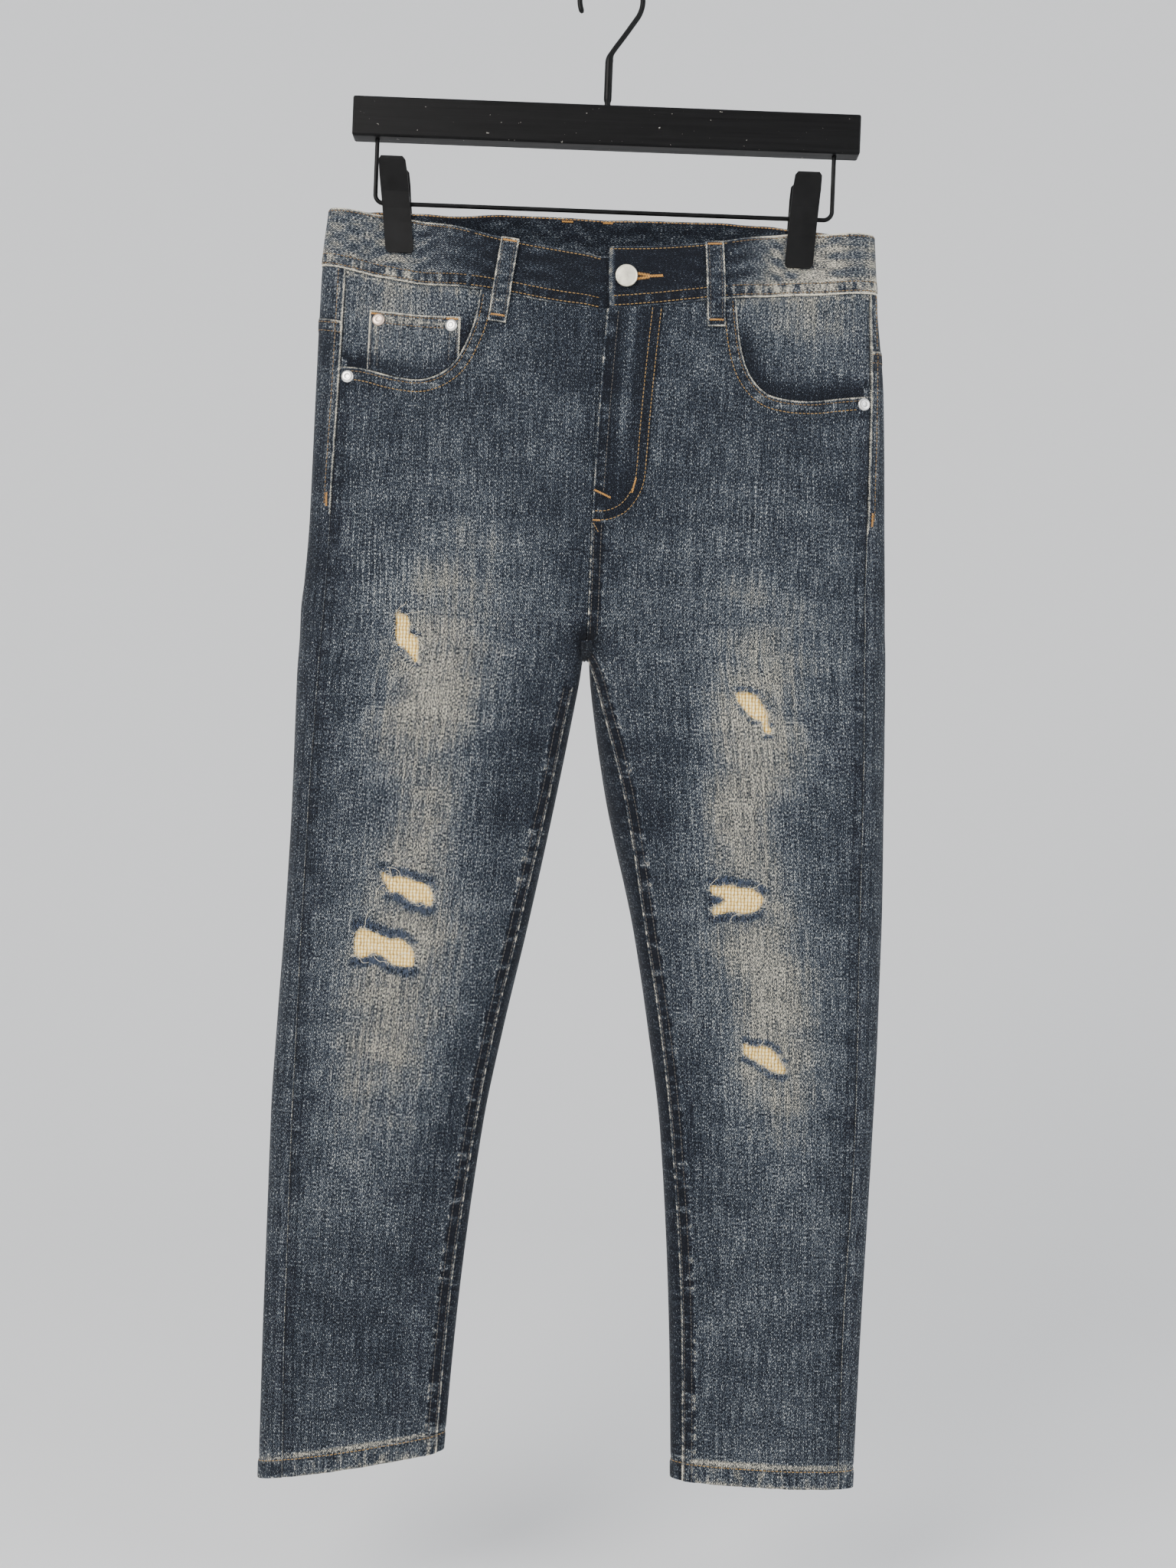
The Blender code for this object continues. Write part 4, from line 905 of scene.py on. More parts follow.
def yoke(side):
    share = np.linspace(0, 1, panel["yokeColumns"])
    top = edgeHeights(side, backEdges, share, bandSeam(side), -240)
    foot = edgeHeights(side, backEdges, share, yokeSeam(side), -285)
    z = top[None, :] + (foot - top)[None, :] * np.linspace(0, 1, panel["yokeRows"])[:, None]
    angle = acrossEdges(backEdges, side, share[None, :], z)
    base = bodyPoint(side, angle, z)
    along = arcs(base, 1)
    toFoot, toMiddle = z - foot[None, :], along[:, -1:] - along
    welt = soft(weltLook["wide"] - along, 0, 1.0)
    ripple = sideWave(side, along, 5.0, 11, 600)
    out = weltLook["rise"] * welt + 0.1 * ripple * soft(10 - toFoot, 0, 3) - 0.4 * ridge(toMiddle, 0, 2.0)
    tone = toneOf(side, angle < 0, np.abs(base[..., 0]), z) + 0.08 * soft(z, -300, -250)
    # the last term is painted shade at its foot, under the back leg's lapped edge
    tone += weltLook["pale"][side] * welt - 0.1 * soft(3 - toFoot, 0, 3)
    attributes = clothLook(tone, grain(side, base, along, z, True), patternPlace(along, z),
                           pucker=weltLook["pucker"] * welt, edge=along)
    made = gridShell(f"backYoke_{side}", bodyPoint(side, angle, z, out),
                     bodyPoint(side, angle, z, -body["cloth"]), materials["backDenim"], attributes)
    grids["yoke", side] = {"side": side, "angle": angle, "z": z, "toSide": along, "toMiddle": toMiddle}
    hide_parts(f"yoke_{side}")
    return made


cloth = [frontLeg("right"), frontLeg("left"), backLeg("right"), backLeg("left"), yoke("right"), yoke("left")]
print("legs and yokes made")

# Waistband: a doubled strip with a rolled top and a piped lower edge.
band = {"out": 0.9, "wall": 2.4, "start": 6.0, "under": 34.0, "meet": 10.0, "rows": 22, "columns": 190,
        "puckerHeight": 9.0, "tone": -0.10, "sideLight": {"right": 0.52, "left": 0.64}, "creaseShading": 0.26,
        "back": 0.23, "pucker": 0.9, "topRoll": 1.2, "lowRoll": 0.9}
bandLevel = -236.0  # about the middle of the front band, where its ends are placed


def bandStations():  # side, angle and depth under the other end, once round the waist from the buttoned end
    half = math.pi / 2

    def angleOf(side, x):
        return float(angleAt(side, x, bandLevel))

    stations = [("left", angle, 0.0)
                for angle in np.linspace(angleOf("left", band["start"]), half, band["columns"])]
    stations += [("right", angle, 0.0) for angle in np.linspace(half, -half + 0.04, band["columns"])[1:]
                 if angle >= angleOf("right", band["meet"])]
    under = band["wall"] + 0.5
    stations += [("right", angleOf("right", x), under * float(soft(band["meet"] - x, 0, 8)))
                 for x in np.linspace(band["meet"], 0, 7)]
    return stations + [("left", angleOf("left", x), under) for x in np.linspace(2, band["under"], 14)]


def bandPlace(side, angle, sunk):  # a station with the heights of the band's edges there
    face = "front" if angle < 0 else "back"
    tucked = sunk > 0 and side == "left"
    edges = {"Top": -200.0, "Low": -240.0}
    for _ in range(3):
        across = {edge: 0.0 if tucked else abs(float(freePoint(side, np.float64(angle), np.float64(z))[0]))
                  for edge, z in edges.items()}
        edges = {edge: float(bandEdge("right" if tucked else side, face, edge, x))
                 for edge, x in across.items()}
    return side, angle, sunk, edges["Top"], edges["Low"]


def rolled(gap, radius, height):  # how far a rounded edge falls away
    return height * (1 - np.sqrt(np.clip(1 - (1 - np.minimum(gap, radius) / radius) ** 2, 0, 1)))


def waistband():
    stations = [bandPlace(*station) for station in bandStations()]
    heights = [np.linspace(top, low, band["rows"]) for _, _, _, top, low in stations]
    middles = np.array([bodyPoint(side, angle, z[len(z) // 2:len(z) // 2 + 1])[0]
                        for (side, angle, *_), z in zip(stations, heights)])
    lengths = np.concatenate([[0.0], np.cumsum(np.linalg.norm(np.diff(middles, axis=0), axis=1))])
    waves = [chanceWave(lengths, spacing, seed, lengths[-1])
             for spacing, seed in ((5.0, 21), (24.0, 22), (18.0, 23), (11.0, 24))]
    outer, inner, looks = [], [], []
    for station, z, length, ripple, swell, shift, force in zip(stations, heights, lengths, *waves):
        side, angle, sunk = station[:3]
        fromTop, toLow = z[0] - z, z - z[-1]
        ends = 0.7 * (1 - soft(min(length, lengths[-1] - length), 0, 1.5))
        strip = soft(band["puckerHeight"] + 1 - toLow, 0, 1.5) * soft(toLow, 0.5, 2.5)
        out = band["out"] + 0.25 * swell * soft(fromTop, 4, 14) * soft(toLow, 10, 20)
        out += strip * (0.15 + 0.3 * ripple) - 0.3 * ridge(toLow, band["puckerHeight"], 1.0)
        out += 0.25 * ridge(toLow, 0.7, 0.8) - 0.3 * ridge(toLow, 1.8, 0.7)  # the piped lower edge
        topRoll, lowRoll = rolled(fromTop, band["topRoll"], 0.8), rolled(toLow, band["lowRoll"], 0.6)
        lining = band["out"] - band["wall"] - sunk + topRoll + lowRoll * 0.5 + ends
        outer.append(bodyPoint(side, angle, z, out - sunk - topRoll - lowRoll - ends))
        inner.append(bodyPoint(side, angle, z, lining))
        x = abs(float(freePoint(side, np.float64(angle), z[:1])[0][0]))
        light = band["sideLight"][side] * soft(x, 60, 150) if angle < 0 else band["back"]
        # light and dark stripes of creases that the band's shape does not have: painted light and shade, with
        # the wear along them
        creaseShading = band["creaseShading"] * np.sin(0.5 * z + 2.5 * shift) * force * (1 - strip)
        tone = band["tone"] + light + creaseShading + 0.06 * swell + 0.04 * soft(fromTop, 8, 20)
        endWear = 0.25 * ridge(length, 1.5, 2.5) if length < 20 else 0
        looks.append({"tone": tone, "wear": 0.10 * ridge(toLow, band["puckerHeight"] + 1.5, 1.4) + endWear,
                      "pucker": np.maximum(band["pucker"] * strip, 0.35 * soft(6 - fromTop, 0, 3)),
                      "edge": np.minimum(np.minimum(fromTop, toLow), length / 3),
                      "z": z, "length": length + 0 * z})
    looks = {key: np.array([look[key] for look in looks]) for key in looks[0]}
    z, length = looks.pop("z"), looks.pop("length")  # the weave lies across, as the band is cut along the cloth
    attributes = clothLook(weave=patternPlace(z, length), along=patternPlace(length, z), **looks)
    made = gridShell("waistband_cloth", np.array(outer), np.array(inner), materials["bandDenim"], attributes)
    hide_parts("waistband")
    return made, stations


bandPiece, bandPlaces = waistband()
cloth.append(bandPiece)
print("waistband made")


# Pocket facings, coin pocket, fly and loops
def layGrid(name, side, x, z, out, wall, material, tone, wear=0.0, pucker=0.0, face="front", replaces=None,
            edge=farFromEdge, upright=False):
    zero = 0 * (x + z)
    along = patternPlace(z + zero, x + zero) if upright else patternPlace(x + zero, z + zero)
    attributes = clothLook(tone, patternPlace(x + zero, z + zero), along, wear, pucker, edge=edge)
    made = gridShell(name, skin(side, x, z, out, face), skin(side, x, z, out - wall, face), material,
                     attributes)
    if replaces:
        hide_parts(replaces)
    return made


facing = {"inner": {"right": 78.0, "left": 90.0}, "foot": {"right": -332.0, "left": -337.0}, "past": 2.0,
          "sunk": 2.0, "wall": 1.0, "rise": 0.7, "flush": 0.9, "tone": {"right": 0.31, "left": 0.33},
          "shade": 0.38}


def pocketFacing(side):
    share = np.linspace(0, 1, 60)

    def edges(side, z):
        past = legValue(side, "sideSeam", z) + facing["past"]
        return angleAt(side, facing["inner"][side] + 0 * z, z), angleAt(side, past, z)

    top = edgeHeights(side, edges, share, bandSeam(side), -250)
    z = top[None, :] + (facing["foot"][side] - top)[None, :] * np.linspace(0, 1, 50)[:, None]
    angle = acrossEdges(edges, side, share[None, :], z)
    base = bodyPoint(side, angle, z)
    x, along = np.abs(base[..., 0]), arcs(base, 1)
    scoop, opening = pocketMouth(side)
    spots = np.stack([x.ravel(), z.ravel()], -1)
    gap = distanceTo(spots, scoop)[0].reshape(z.shape)
    toTop, toSeam = top[None, :] - z, legValue(side, "sideSeam", z) - x
    seen = inside(spots, opening).reshape(z.shape) * soft(gap, 3, 12)
    flush = np.maximum(soft(14 - toSeam, 0, 8) * soft(toSeam, 0.2, 1.6), soft(14 - toTop, 0, 9))
    sunk = facing["sunk"] - seen * (facing["rise"] + facing["flush"] * flush)
    tone = facing["tone"][side] - facing["shade"] * soft(18 - gap, 0, 16) * soft(-z, 255, 285)
    tone += 0.09 * soft(45 - toTop, 0, 40) + 0.05 * soft(x, 110, 160)
    # the last term is painted shade just under the band's lower edge
    tone -= 0.12 * soft(toTop, 40, 80) + 0.06 * soft(5 - toTop, 0, 5)
    attributes = clothLook(tone, grain(side, base, along, z), patternPlace(along, z), 0.14 * ridge(toTop, 2, 2),
                           0.3 * soft(8 - toTop, 0, 5))
    made = gridShell(f"pocketFacing_{side}", bodyPoint(side, angle, z, -sunk),
                     bodyPoint(side, angle, z, -sunk - facing["wall"]), materials["frontDenim"], attributes)
    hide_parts(f"pocket_facing_{side}")
    return made


coin = {"inner": 103.0, "outer": 172.0, "topInner": -269.0, "topOuter": -263.0, "sunk": 0.25, "wall": 1.0,
        "tone": 0.41, "footShade": 0.30, "topRows": (2.3, 9.2), "sideRows": (2.0, 7.6)}


def coinTop(x):
    share = (x - coin["inner"]) / (coin["outer"] - coin["inner"])
    return coin["topInner"] + (coin["topOuter"] - coin["topInner"]) * share


def coinPocket():
    mouth = curveThrough(scoops["right"])
    mouth = mouth[mouth[:, 1] < -285]
    x = np.linspace(coin["inner"], coin["outer"], 60)
    top, foot = coinTop(x), np.interp(x, mouth[:, 0], mouth[:, 1]) + 0.6
    z = top[None, :] + (foot - top)[None, :] * np.linspace(0, 1, 40)[:, None]
    gridX = x[None, :] + 0 * z
    toTop, toSide, toFoot = top[None, :] - z, np.minimum(gridX - x[0], x[-1] - gridX), z - foot[None, :]
    out = -coin["sunk"] - 0.5 * soft(1.2 - np.minimum(toTop, toSide), 0, 1.2)
    out -= 0.25 * (ridge(toTop, 9.2, 0.8) + ridge(toSide, 2.2, 0.8) + ridge(toSide, 7.5, 0.8))
    # painted shade towards its foot, under the edge of the pocket mouth
    tone = coin["tone"] - coin["footShade"] * soft(20 - toFoot, 0, 17)
    pucker = 0.5 * np.maximum(soft(10 - toTop, 0, 2), soft(8 - toSide, 0, 2))
    wear = 0.16 * ridge(toTop, 6.0, 2.4)
    return layGrid("coinPocket", "right", gridX, z, out, coin["wall"], materials["frontDenim"], tone, wear,
                   pucker, replaces="coin_pocket", edge=np.minimum(toTop, toSide))


# Fly: height, inner edge and outer curve.
flyRows = [(-262, 5.5, 47), (-300, 3.8, 44.5), (-336, 2.3, 42), (-370, 1.4, 40.5), (-388, 1.0, 38),
           (-399, 0.8, 34), (-409, 0.6, 26), (-415, 0.5, 15), (-417.5, 0.4, 4)]


fly = {"rise": 1.5, "dark": 0.25, "ripple": 0.35, "puckerShadeAndWear": 0.13, "pucker": 0.8, "puckerWidth": 9.5,
       "wear": 0.30}


def flyPlacket():
    rows = curveThrough(flyRows, 10)
    inner, outer = rows[:, 1:2], rows[:, 2:3]
    x = inner + (outer - inner) * np.linspace(0, 1, 40)[None, :]
    z = rows[:, :1] + 0 * x
    z[0] = bandEdge("left", "front", "Low", x[0]) - body["bandGap"]
    fromEdge, toCurve = x - inner, outer - x
    ripple = chanceWave(-z, 6.0, 31, 500) * soft(9 - fromEdge, 0, 2) * soft(fromEdge, 1, 3)
    out = fly["rise"] * soft(toCurve, 0, 14) + 0.25 - 0.5 * soft(1.2 - fromEdge, 0, 1.2)
    out += fly["ripple"] * ripple
    tone = toneOf("left", True, x, z) - fly["dark"] - 0.04 * ridge(toCurve, 8, 9) - 0.05 * ridge(fromEdge, 8, 5)
    # lighter on the ripple's ridges and darker in its hollows: painted light and shade, with wear
    tone += fly["puckerShadeAndWear"] * ripple
    # a pale streak down the middle of the fly: wear and a painted highlight
    wear = fly["wear"] * ridge(fromEdge, 19, 5) * soft(z, -400, -340)
    pucker = fly["pucker"] * soft(fly["puckerWidth"] - fromEdge, 0, 1.5)
    return layGrid("flyPlacket", "left", x, z, out, 0.2 + 0.9 * soft(out, 0.3, 1.4), materials["frontDenim"],
                   tone, wear, pucker, replaces="fly_placket", edge=fromEdge, upright=True)


# Belt loops: node, side, face, x and z at the top, x and z at the foot, width.
loops = [("belt_loop_front_right", "right", "front", 67.6, -211, 75.5, -273, 13.5),
         ("belt_loop_front_left", "left", "front", 83, -207.5, 87, -270, 13.5),
         ("belt_loop_back_right", "right", "back", 15, -180.5, 15, -238, 10),
         ("belt_loop_back_left", "left", "back", 15, -180.5, 15, -238, 10)]
loopLook = {"wall": 1.4, "arch": 1.6, "lay": 0.5, "tone": {"right": 0.32, "left": 0.24}, "pucker": 0.5}


def loopPlace(loop, share, across):
    node, side, face, xTop, zTop, xLow, zLow, width = loop
    lean = (xTop - xLow) / (zTop - zLow)
    x = xTop + (xLow - xTop) * share + across
    z = zTop + (zLow - zTop) * share - lean * across
    low = float(bandEdge(side, face, "Low", xLow))
    onBand = band["out"] + loopLook["lay"] + loopLook["arch"] * np.sin(np.pi * np.clip(share / 0.8, 0, 1))
    down = soft(low - 1 - z, 0, 7)
    return x, z, onBand * (1 - down) + loopLook["lay"] * down


def beltLoop(loop):
    node, side, face, xTop, zTop, _, zLow, width = loop
    share, across = np.meshgrid(np.linspace(0, 1, 60), np.linspace(-0.5, 0.5, 15) * width, indexing="ij")
    x, z, stand = loopPlace(loop, share, across)
    toEdge, length = width / 2 - np.abs(across), share * (zTop - zLow)
    ripple = chanceWave(length, 4.0, int(xTop), 90)
    out = stand + loopLook["wall"] - 0.6 * soft(1.3 - toEdge, 0, 1.3) - 0.35 * ridge(toEdge, 2.3, 0.7)
    out += 0.12 * ripple * soft(toEdge, 2, 4)
    toEnd = np.minimum(length, zTop - zLow - length)
    return layGrid("cloth_" + node, side, x, z, out, loopLook["wall"] - 0.3, materials["bandDenim"],
                   loopLook["tone"][side], 0.0, loopLook["pucker"], face, node,
                   np.minimum(toEdge, toEnd + 0.3), True)


cloth += [pocketFacing("right"), pocketFacing("left"), coinPocket(), flyPlacket()]
cloth += [beltLoop(loop) for loop in loops]
print("pockets, fly and loops made")


def ripPatch(name):
    rip, margin = rips[name], ripLook["margin"]
    edge = np.array(rip["edge"])
    low, high = edge.min(0) - margin, edge.max(0) + margin
    across, up = np.meshgrid(np.linspace(low[0], high[0], 30), np.linspace(low[1], high[1], 24), indexing="ij")
    wave = 0.25 * np.sin(across / 5.0 + rip["x"]) * np.cos(up / 4.0)
    out = wave - body["cloth"] - ripLook["gap"]
    return layGrid(f"patchCloth_{name}", rip["side"], rip["x"] + across, rip["z"] + up, out, ripLook["cloth"],
                   materials["patch"], 0.5, replaces=f"patch_{name}")


cloth += [ripPatch(name) for name in rips]
print("patches made")

for piece in cloth:
    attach(piece, "root")


# Seam allowances inside the seams, so that no light shows through them
allowance = {"half": 5.0, "sunk": 1.45, "wall": 0.6}


def seamAllowance(name, points, normals, tone=0.3):
    return gridShell(name, points, points - normals * allowance["wall"], materials["frontDenim"],
                     clothLook(tone, points, points))


def sideAllowance(side):
    z = np.linspace(-236, body["hems"][side][1] + 4, 200)[:, None]
    across = np.linspace(-1, 1, 5)[None, :] * allowance["half"]
    x = legValue(side, "sideSeam", z) + across
    angle = angleAt(side, x, z + 0 * x)
    return seamAllowance(f"allowanceSide_{side}", bodyPoint(side, angle, z + 0 * x, -allowance["sunk"]),
                         bodyNormal(side, angle, z + 0 * x))


def inseamAllowance(side):
    z = np.linspace(-511, body["hems"][side][0] + 4, 150)[:, None]
    start, _ = frontEdges(side, z)
    speed = np.linalg.norm(bodyPoint(side, start + 0.02, z) - bodyPoint(side, start - 0.02, z), axis=-1) / 0.04
    angle = start + np.linspace(-1, 1, 5)[None, :] * np.minimum(allowance["half"] / np.maximum(speed, 5), 0.25)
    z = z + 0 * angle
    return seamAllowance(f"allowanceInseam_{side}", bodyPoint(side, angle, z, -allowance["sunk"]),
                         bodyNormal(side, angle, z))


def middleAllowance(face, top):
    rows = []
    for z in np.linspace(top, -504, 90):
        row = []
        for x in (-5.0, -2.5, -0.4, 0.4, 2.5, 5.0):
            side = "right" if x < 0 else "left"
            row.append(skin(side, np.float64(abs(x)), np.float64(z), -allowance["sunk"], face))
        rows.append(row)
    points = np.array(rows)
    normals = np.zeros(points.shape)
    normals[..., 1] = -1 if face == "front" else 1
    return seamAllowance(f"allowanceMiddle_{face}", points, normals)


def crotchKnot():  # where the four seams cross, their allowances sag a little between the legs
    share, across = np.meshgrid(np.linspace(0, 1, 24), np.linspace(-4, 4, 7), indexing="ij")
    deep = -21.0 + 54.0 * share
    low = -506.5 - 13.0 * np.sin(math.pi * share) - 0.5 * np.sin(2.1 * across + 9 * share)
    points = np.stack([across, deep, low], -1)
    normals = np.zeros(points.shape)
    normals[..., 2] = -1
    # its near-black tone is painted shade between the legs
    return seamAllowance("allowanceCrotch", points, normals, 0.04)


allowances = {side: [sideAllowance(side), inseamAllowance(side)] for side in sign}
middles = [middleAllowance("front", -263), middleAllowance("back", -240), crotchKnot()]
for piece in allowances["right"] + allowances["left"] + middles:
    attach(piece, "root")
print("seam allowances made")


# Sewing: each stitch is one edge of a mesh, and Geometry Nodes make it a thread.
sewing = {"pitch": 3.0, "fill": 0.76, "thick": 0.66, "uneven": 0.18, "seed": 4,
          "tackPitch": 0.55, "tackThick": 0.46, "tackFill": 1.15, "reach": 9.0,
          "inseamRows": (2.2, 7.6), "seatRows": (2.2, 8.6), "sideRow": 5.2,
          "mouthRows": {"brown": 2.9, "gold": 9.4}, "bandRows": ((2.3, False), (9.2, False), (2.3, True)),
          "flyCurve": 6.4, "rise": 0.12, "tackRise": 0.27}


def nodeTree(name, inputs):
    tree = bpy.data.node_groups.new(name, "GeometryNodeTree")
    tree.interface.new_socket(name="Geometry", in_out="OUTPUT", socket_type="NodeSocketGeometry")
    tree.interface.new_socket(name="Geometry", in_out="INPUT", socket_type="NodeSocketGeometry")
    for key, kind in inputs:
        tree.interface.new_socket(name=key, in_out="INPUT", socket_type="NodeSocket" + kind)
    return tree, addNode(tree, "NodeGroupInput"), addNode(tree, "NodeGroupOutput")


def endTree(tree, geometry, given, result):
    for kind in ("GeometryNodeRealizeInstances", "GeometryNodeSetShadeSmooth"):
        geometry = addNode(tree, kind, {"Geometry": geometry}).outputs[0]
    done = addNode(tree, "GeometryNodeSetMaterial",
                   {"Geometry": geometry, "Material": given.outputs["Material"]})
    tree.links.new(done.outputs[0], result.inputs[0])
    return tree


def stitchTree():  # each edge of the mesh becomes a stitch: a ball drawn out along it, with full ends
    tree, given, result = nodeTree("stitches", [("Thickness", "Float"), ("Fill", "Float"), ("Uneven", "Float"),
                                                ("Seed", "Int"), ("Material", "Material")])
    thickness, fill, uneven = (Reckoned(tree, given.outputs[name]) for name in ("Thickness", "Fill", "Uneven"))
    ends = addNode(tree, "GeometryNodeInputMeshEdgeVertices")
    way = addNode(tree, "ShaderNodeVectorMath", {0: ends.outputs["Position 2"], 1: ends.outputs["Position 1"]},
                  operation="SUBTRACT").outputs[0]
    kept = addNode(tree, "GeometryNodeCaptureAttribute", domain="EDGE")
    kept.capture_items.new("VECTOR", "way")
    tree.links.new(given.outputs["Geometry"], kept.inputs["Geometry"])
    tree.links.new(way, kept.inputs["way"])
    points = addNode(tree, "GeometryNodeMeshToPoints", {"Mesh": kept.outputs["Geometry"]}, mode="EDGES")
    way = kept.outputs["way"]
    measured = addNode(tree, "ShaderNodeVectorMath", {0: way}, operation="LENGTH")
    length = Reckoned(tree, measured.outputs["Value"])
    turn = addNode(tree, "FunctionNodeAlignRotationToVector", {"Vector": way}, axis="Z").outputs[0]
    chance = addNode(tree, "FunctionNodeRandomValue",
                     {2: 1.0 - uneven, 3: uneven + 1.0, "Seed": given.outputs["Seed"]},
                     data_type="FLOAT").outputs[1]
    wide = thickness * 0.5 * chance
    size = addNode(tree, "ShaderNodeCombineXYZ", {0: wide, 1: wide, 2: length * fill * 0.5}).outputs[0]
    ball = addNode(tree, "GeometryNodeMeshUVSphere", {"Segments": 6, "Rings": 5, "Radius": 1.0})
    x, y, z = splitNode(tree, addNode(tree, "GeometryNodeInputPosition").outputs[0])
    swell = (z.math("POWER", 2.0) + 1.0).math("SQRT")
    fat = addNode(tree, "ShaderNodeCombineXYZ", {0: x * swell, 1: y * swell, 2: z}).outputs[0]
    thread = addNode(tree, "GeometryNodeSetPosition", {"Geometry": ball.outputs["Mesh"], "Position": fat})
    placed = addNode(tree, "GeometryNodeInstanceOnPoints", {"Points": points.outputs[0], "Scale": size,
                                                            "Instance": thread.outputs[0], "Rotation": turn})
    return endTree(tree, placed.outputs[0], given, result)


def strandTree():  # a thin tube along each line of the mesh
    tree, given, result = nodeTree("strands", [("Thickness", "Float"), ("Sides", "Int"),
                                               ("Material", "Material")])
    line = addNode(tree, "GeometryNodeMeshToCurve", {"Mesh": given.outputs["Geometry"]})
    radius = Reckoned(tree, given.outputs["Thickness"]) * 0.5
    ring = addNode(tree, "GeometryNodeCurvePrimitiveCircle",
                   {"Resolution": given.outputs["Sides"], "Radius": radius})
    tube = addNode(tree, "GeometryNodeCurveToMesh", {"Curve": line.outputs[0], "Profile Curve": ring.outputs[0],
                                                     "Fill Caps": True})
    return endTree(tree, tube.outputs[0], given, result)


def growMesh(name, lines, tree, values):
    # Polylines in millimetres become one mesh object through a node tree with the given inputs.
    verts, edges = [], []
    for line in lines:
        edges += [(len(verts) + k, len(verts) + k + 1) for k in range(len(line) - 1)]
        verts += (np.asarray(line) * mm).tolist()
    mesh = bpy.data.meshes.new(name + "Lines")
    mesh.from_pydata(verts, edges, [])
    seedObject = bpy.data.objects.new(name + "Lines", mesh)
    bpy.context.scene.collection.objects.link(seedObject)
    modifier = seedObject.modifiers.new("grow", "NODES")
    modifier.node_group = tree
    for item in tree.interface.items_tree:
        if item.in_out == "INPUT" and item.name in values:
            modifier[item.identifier] = values[item.name]
    bpy.context.view_layer.update()
    grown = bpy.data.meshes.new_from_object(seedObject.evaluated_get(bpy.context.evaluated_depsgraph_get()))
    seedObject.modifiers.remove(modifier)
    bpy.data.objects.remove(seedObject)
    grown.name = name
    thing = bpy.data.objects.new(name, grown)
    bpy.context.scene.collection.objects.link(thing)
    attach(thing, "root")
    return thing


def surfaceOf(*pieces):
    verts, faces, start = [], [], 0
    for piece in pieces:
        spots = np.empty(len(piece.data.vertices) * 3)
        piece.data.vertices.foreach_get("co", spots)
        verts += spots.reshape(-1, 3).tolist()
        faces += [[start + corner for corner in face.vertices] for face in piece.data.polygons]
        start = len(verts)
    return BVHTree.FromPolygons(verts, faces)


def settle(surface, points, normals, rise):
    # Each point is dropped on the cloth from outside, and ends a little above it.
    placed = []
    for point, normal in zip(points, normals):
        start = Vector(((point + normal * sewing["reach"]) * mm).tolist())
        hit = surface.ray_cast(start, Vector((-normal).tolist()), 2 * sewing["reach"] * mm)[0]
        placed.append((np.array(hit) / mm if hit is not None else point) + normal * rise)
    return np.array(placed)


def resample(points, normals, pitch):
    step = np.linalg.norm(np.diff(points, axis=0), axis=1)
    walked = np.concatenate([[0], np.cumsum(step)])
    count = max(2, int(round(walked[-1] / pitch)) + 1)
    places = np.linspace(0, walked[-1], count)
    spots = np.stack([np.interp(places, walked, points[:, k]) for k in range(3)], -1)
    ways = np.stack([np.interp(places, walked, normals[:, k]) for k in range(3)], -1)
    return spots, ways / np.linalg.norm(ways, axis=1)[:, None]


threads = {"gold": [], "brown": [], "dark": [], "orange": []}
tacks = []


def sewRow(colour, surface, path, pitch=None):
    points, normals = resample(*path, pitch or sewing["pitch"])
    threads[colour].append(settle(surface, points, normals, sewing["rise"]))


def onSkin(side, places, face="front"):
    places = np.array(places, float)
    angle = angleAt(side, places[:, 0], places[:, 1], face)
    return bodyPoint(side, angle, places[:, 1]), bodyNormal(side, angle, places[:, 1])


def bartack(surface, side, start, end, wide=1.9, face="front"):
    start, end = np.array(start, float), np.array(end, float)
    length = np.hypot(*(end - start))
    count = int(length / sewing["tackPitch"])
    across = np.array([-(end - start)[1], (end - start)[0]]) / length * wide / 2
    zigzag = [start + (end - start) * k / count + across * (1 if k % 2 else -1) for k in range(count + 1)]
    points, normals = onSkin(side, zigzag, face)
    tacks.append(settle(surface, points, normals, sewing["tackRise"]))


def traceSeam(grid, key, distance, top=0.0, foot=-2000.0):
    angles, heights = [], []
    for gaps, angle, z in zip(grid[key], grid["angle"], grid["z"]):
        order = np.argsort(gaps)
        height = np.interp(distance, gaps[order], z[order])
        if foot < height < top:
            angles.append(np.interp(distance, gaps[order], angle[order]))
            heights.append(height)
    angle, z = np.array(angles), np.array(heights)
    return bodyPoint(grid["side"], angle, z), bodyNormal(grid["side"], angle, z)


def traceLevel(grid, z):
    angle = np.array([np.interp(z[k], grid["z"][::-1, k], grid["angle"][::-1, k]) for k in range(len(z))])
    return bodyPoint(grid["side"], angle, z), bodyNormal(grid["side"], angle, z)


def traceBand(height, keep, fromTop=False, inside=False):
    points, normals = [], []
    for side, angle, sunk, top, low in bandPlaces:
        tucked = sunk > 0 and side == "left"
        if not keep(side, angle, sunk):
            continue
        z = top - height if fromTop else low + height
        point = bodyPoint(side, np.float64(angle), np.float64(z), -sunk)
        if tucked and point[0] > band["start"]:
            break
        points.append(point)
        normals.append(bodyNormal(side, np.float64(angle), np.float64(z)) * (-1 if inside else 1))
    return np.array(points), np.array(normals)


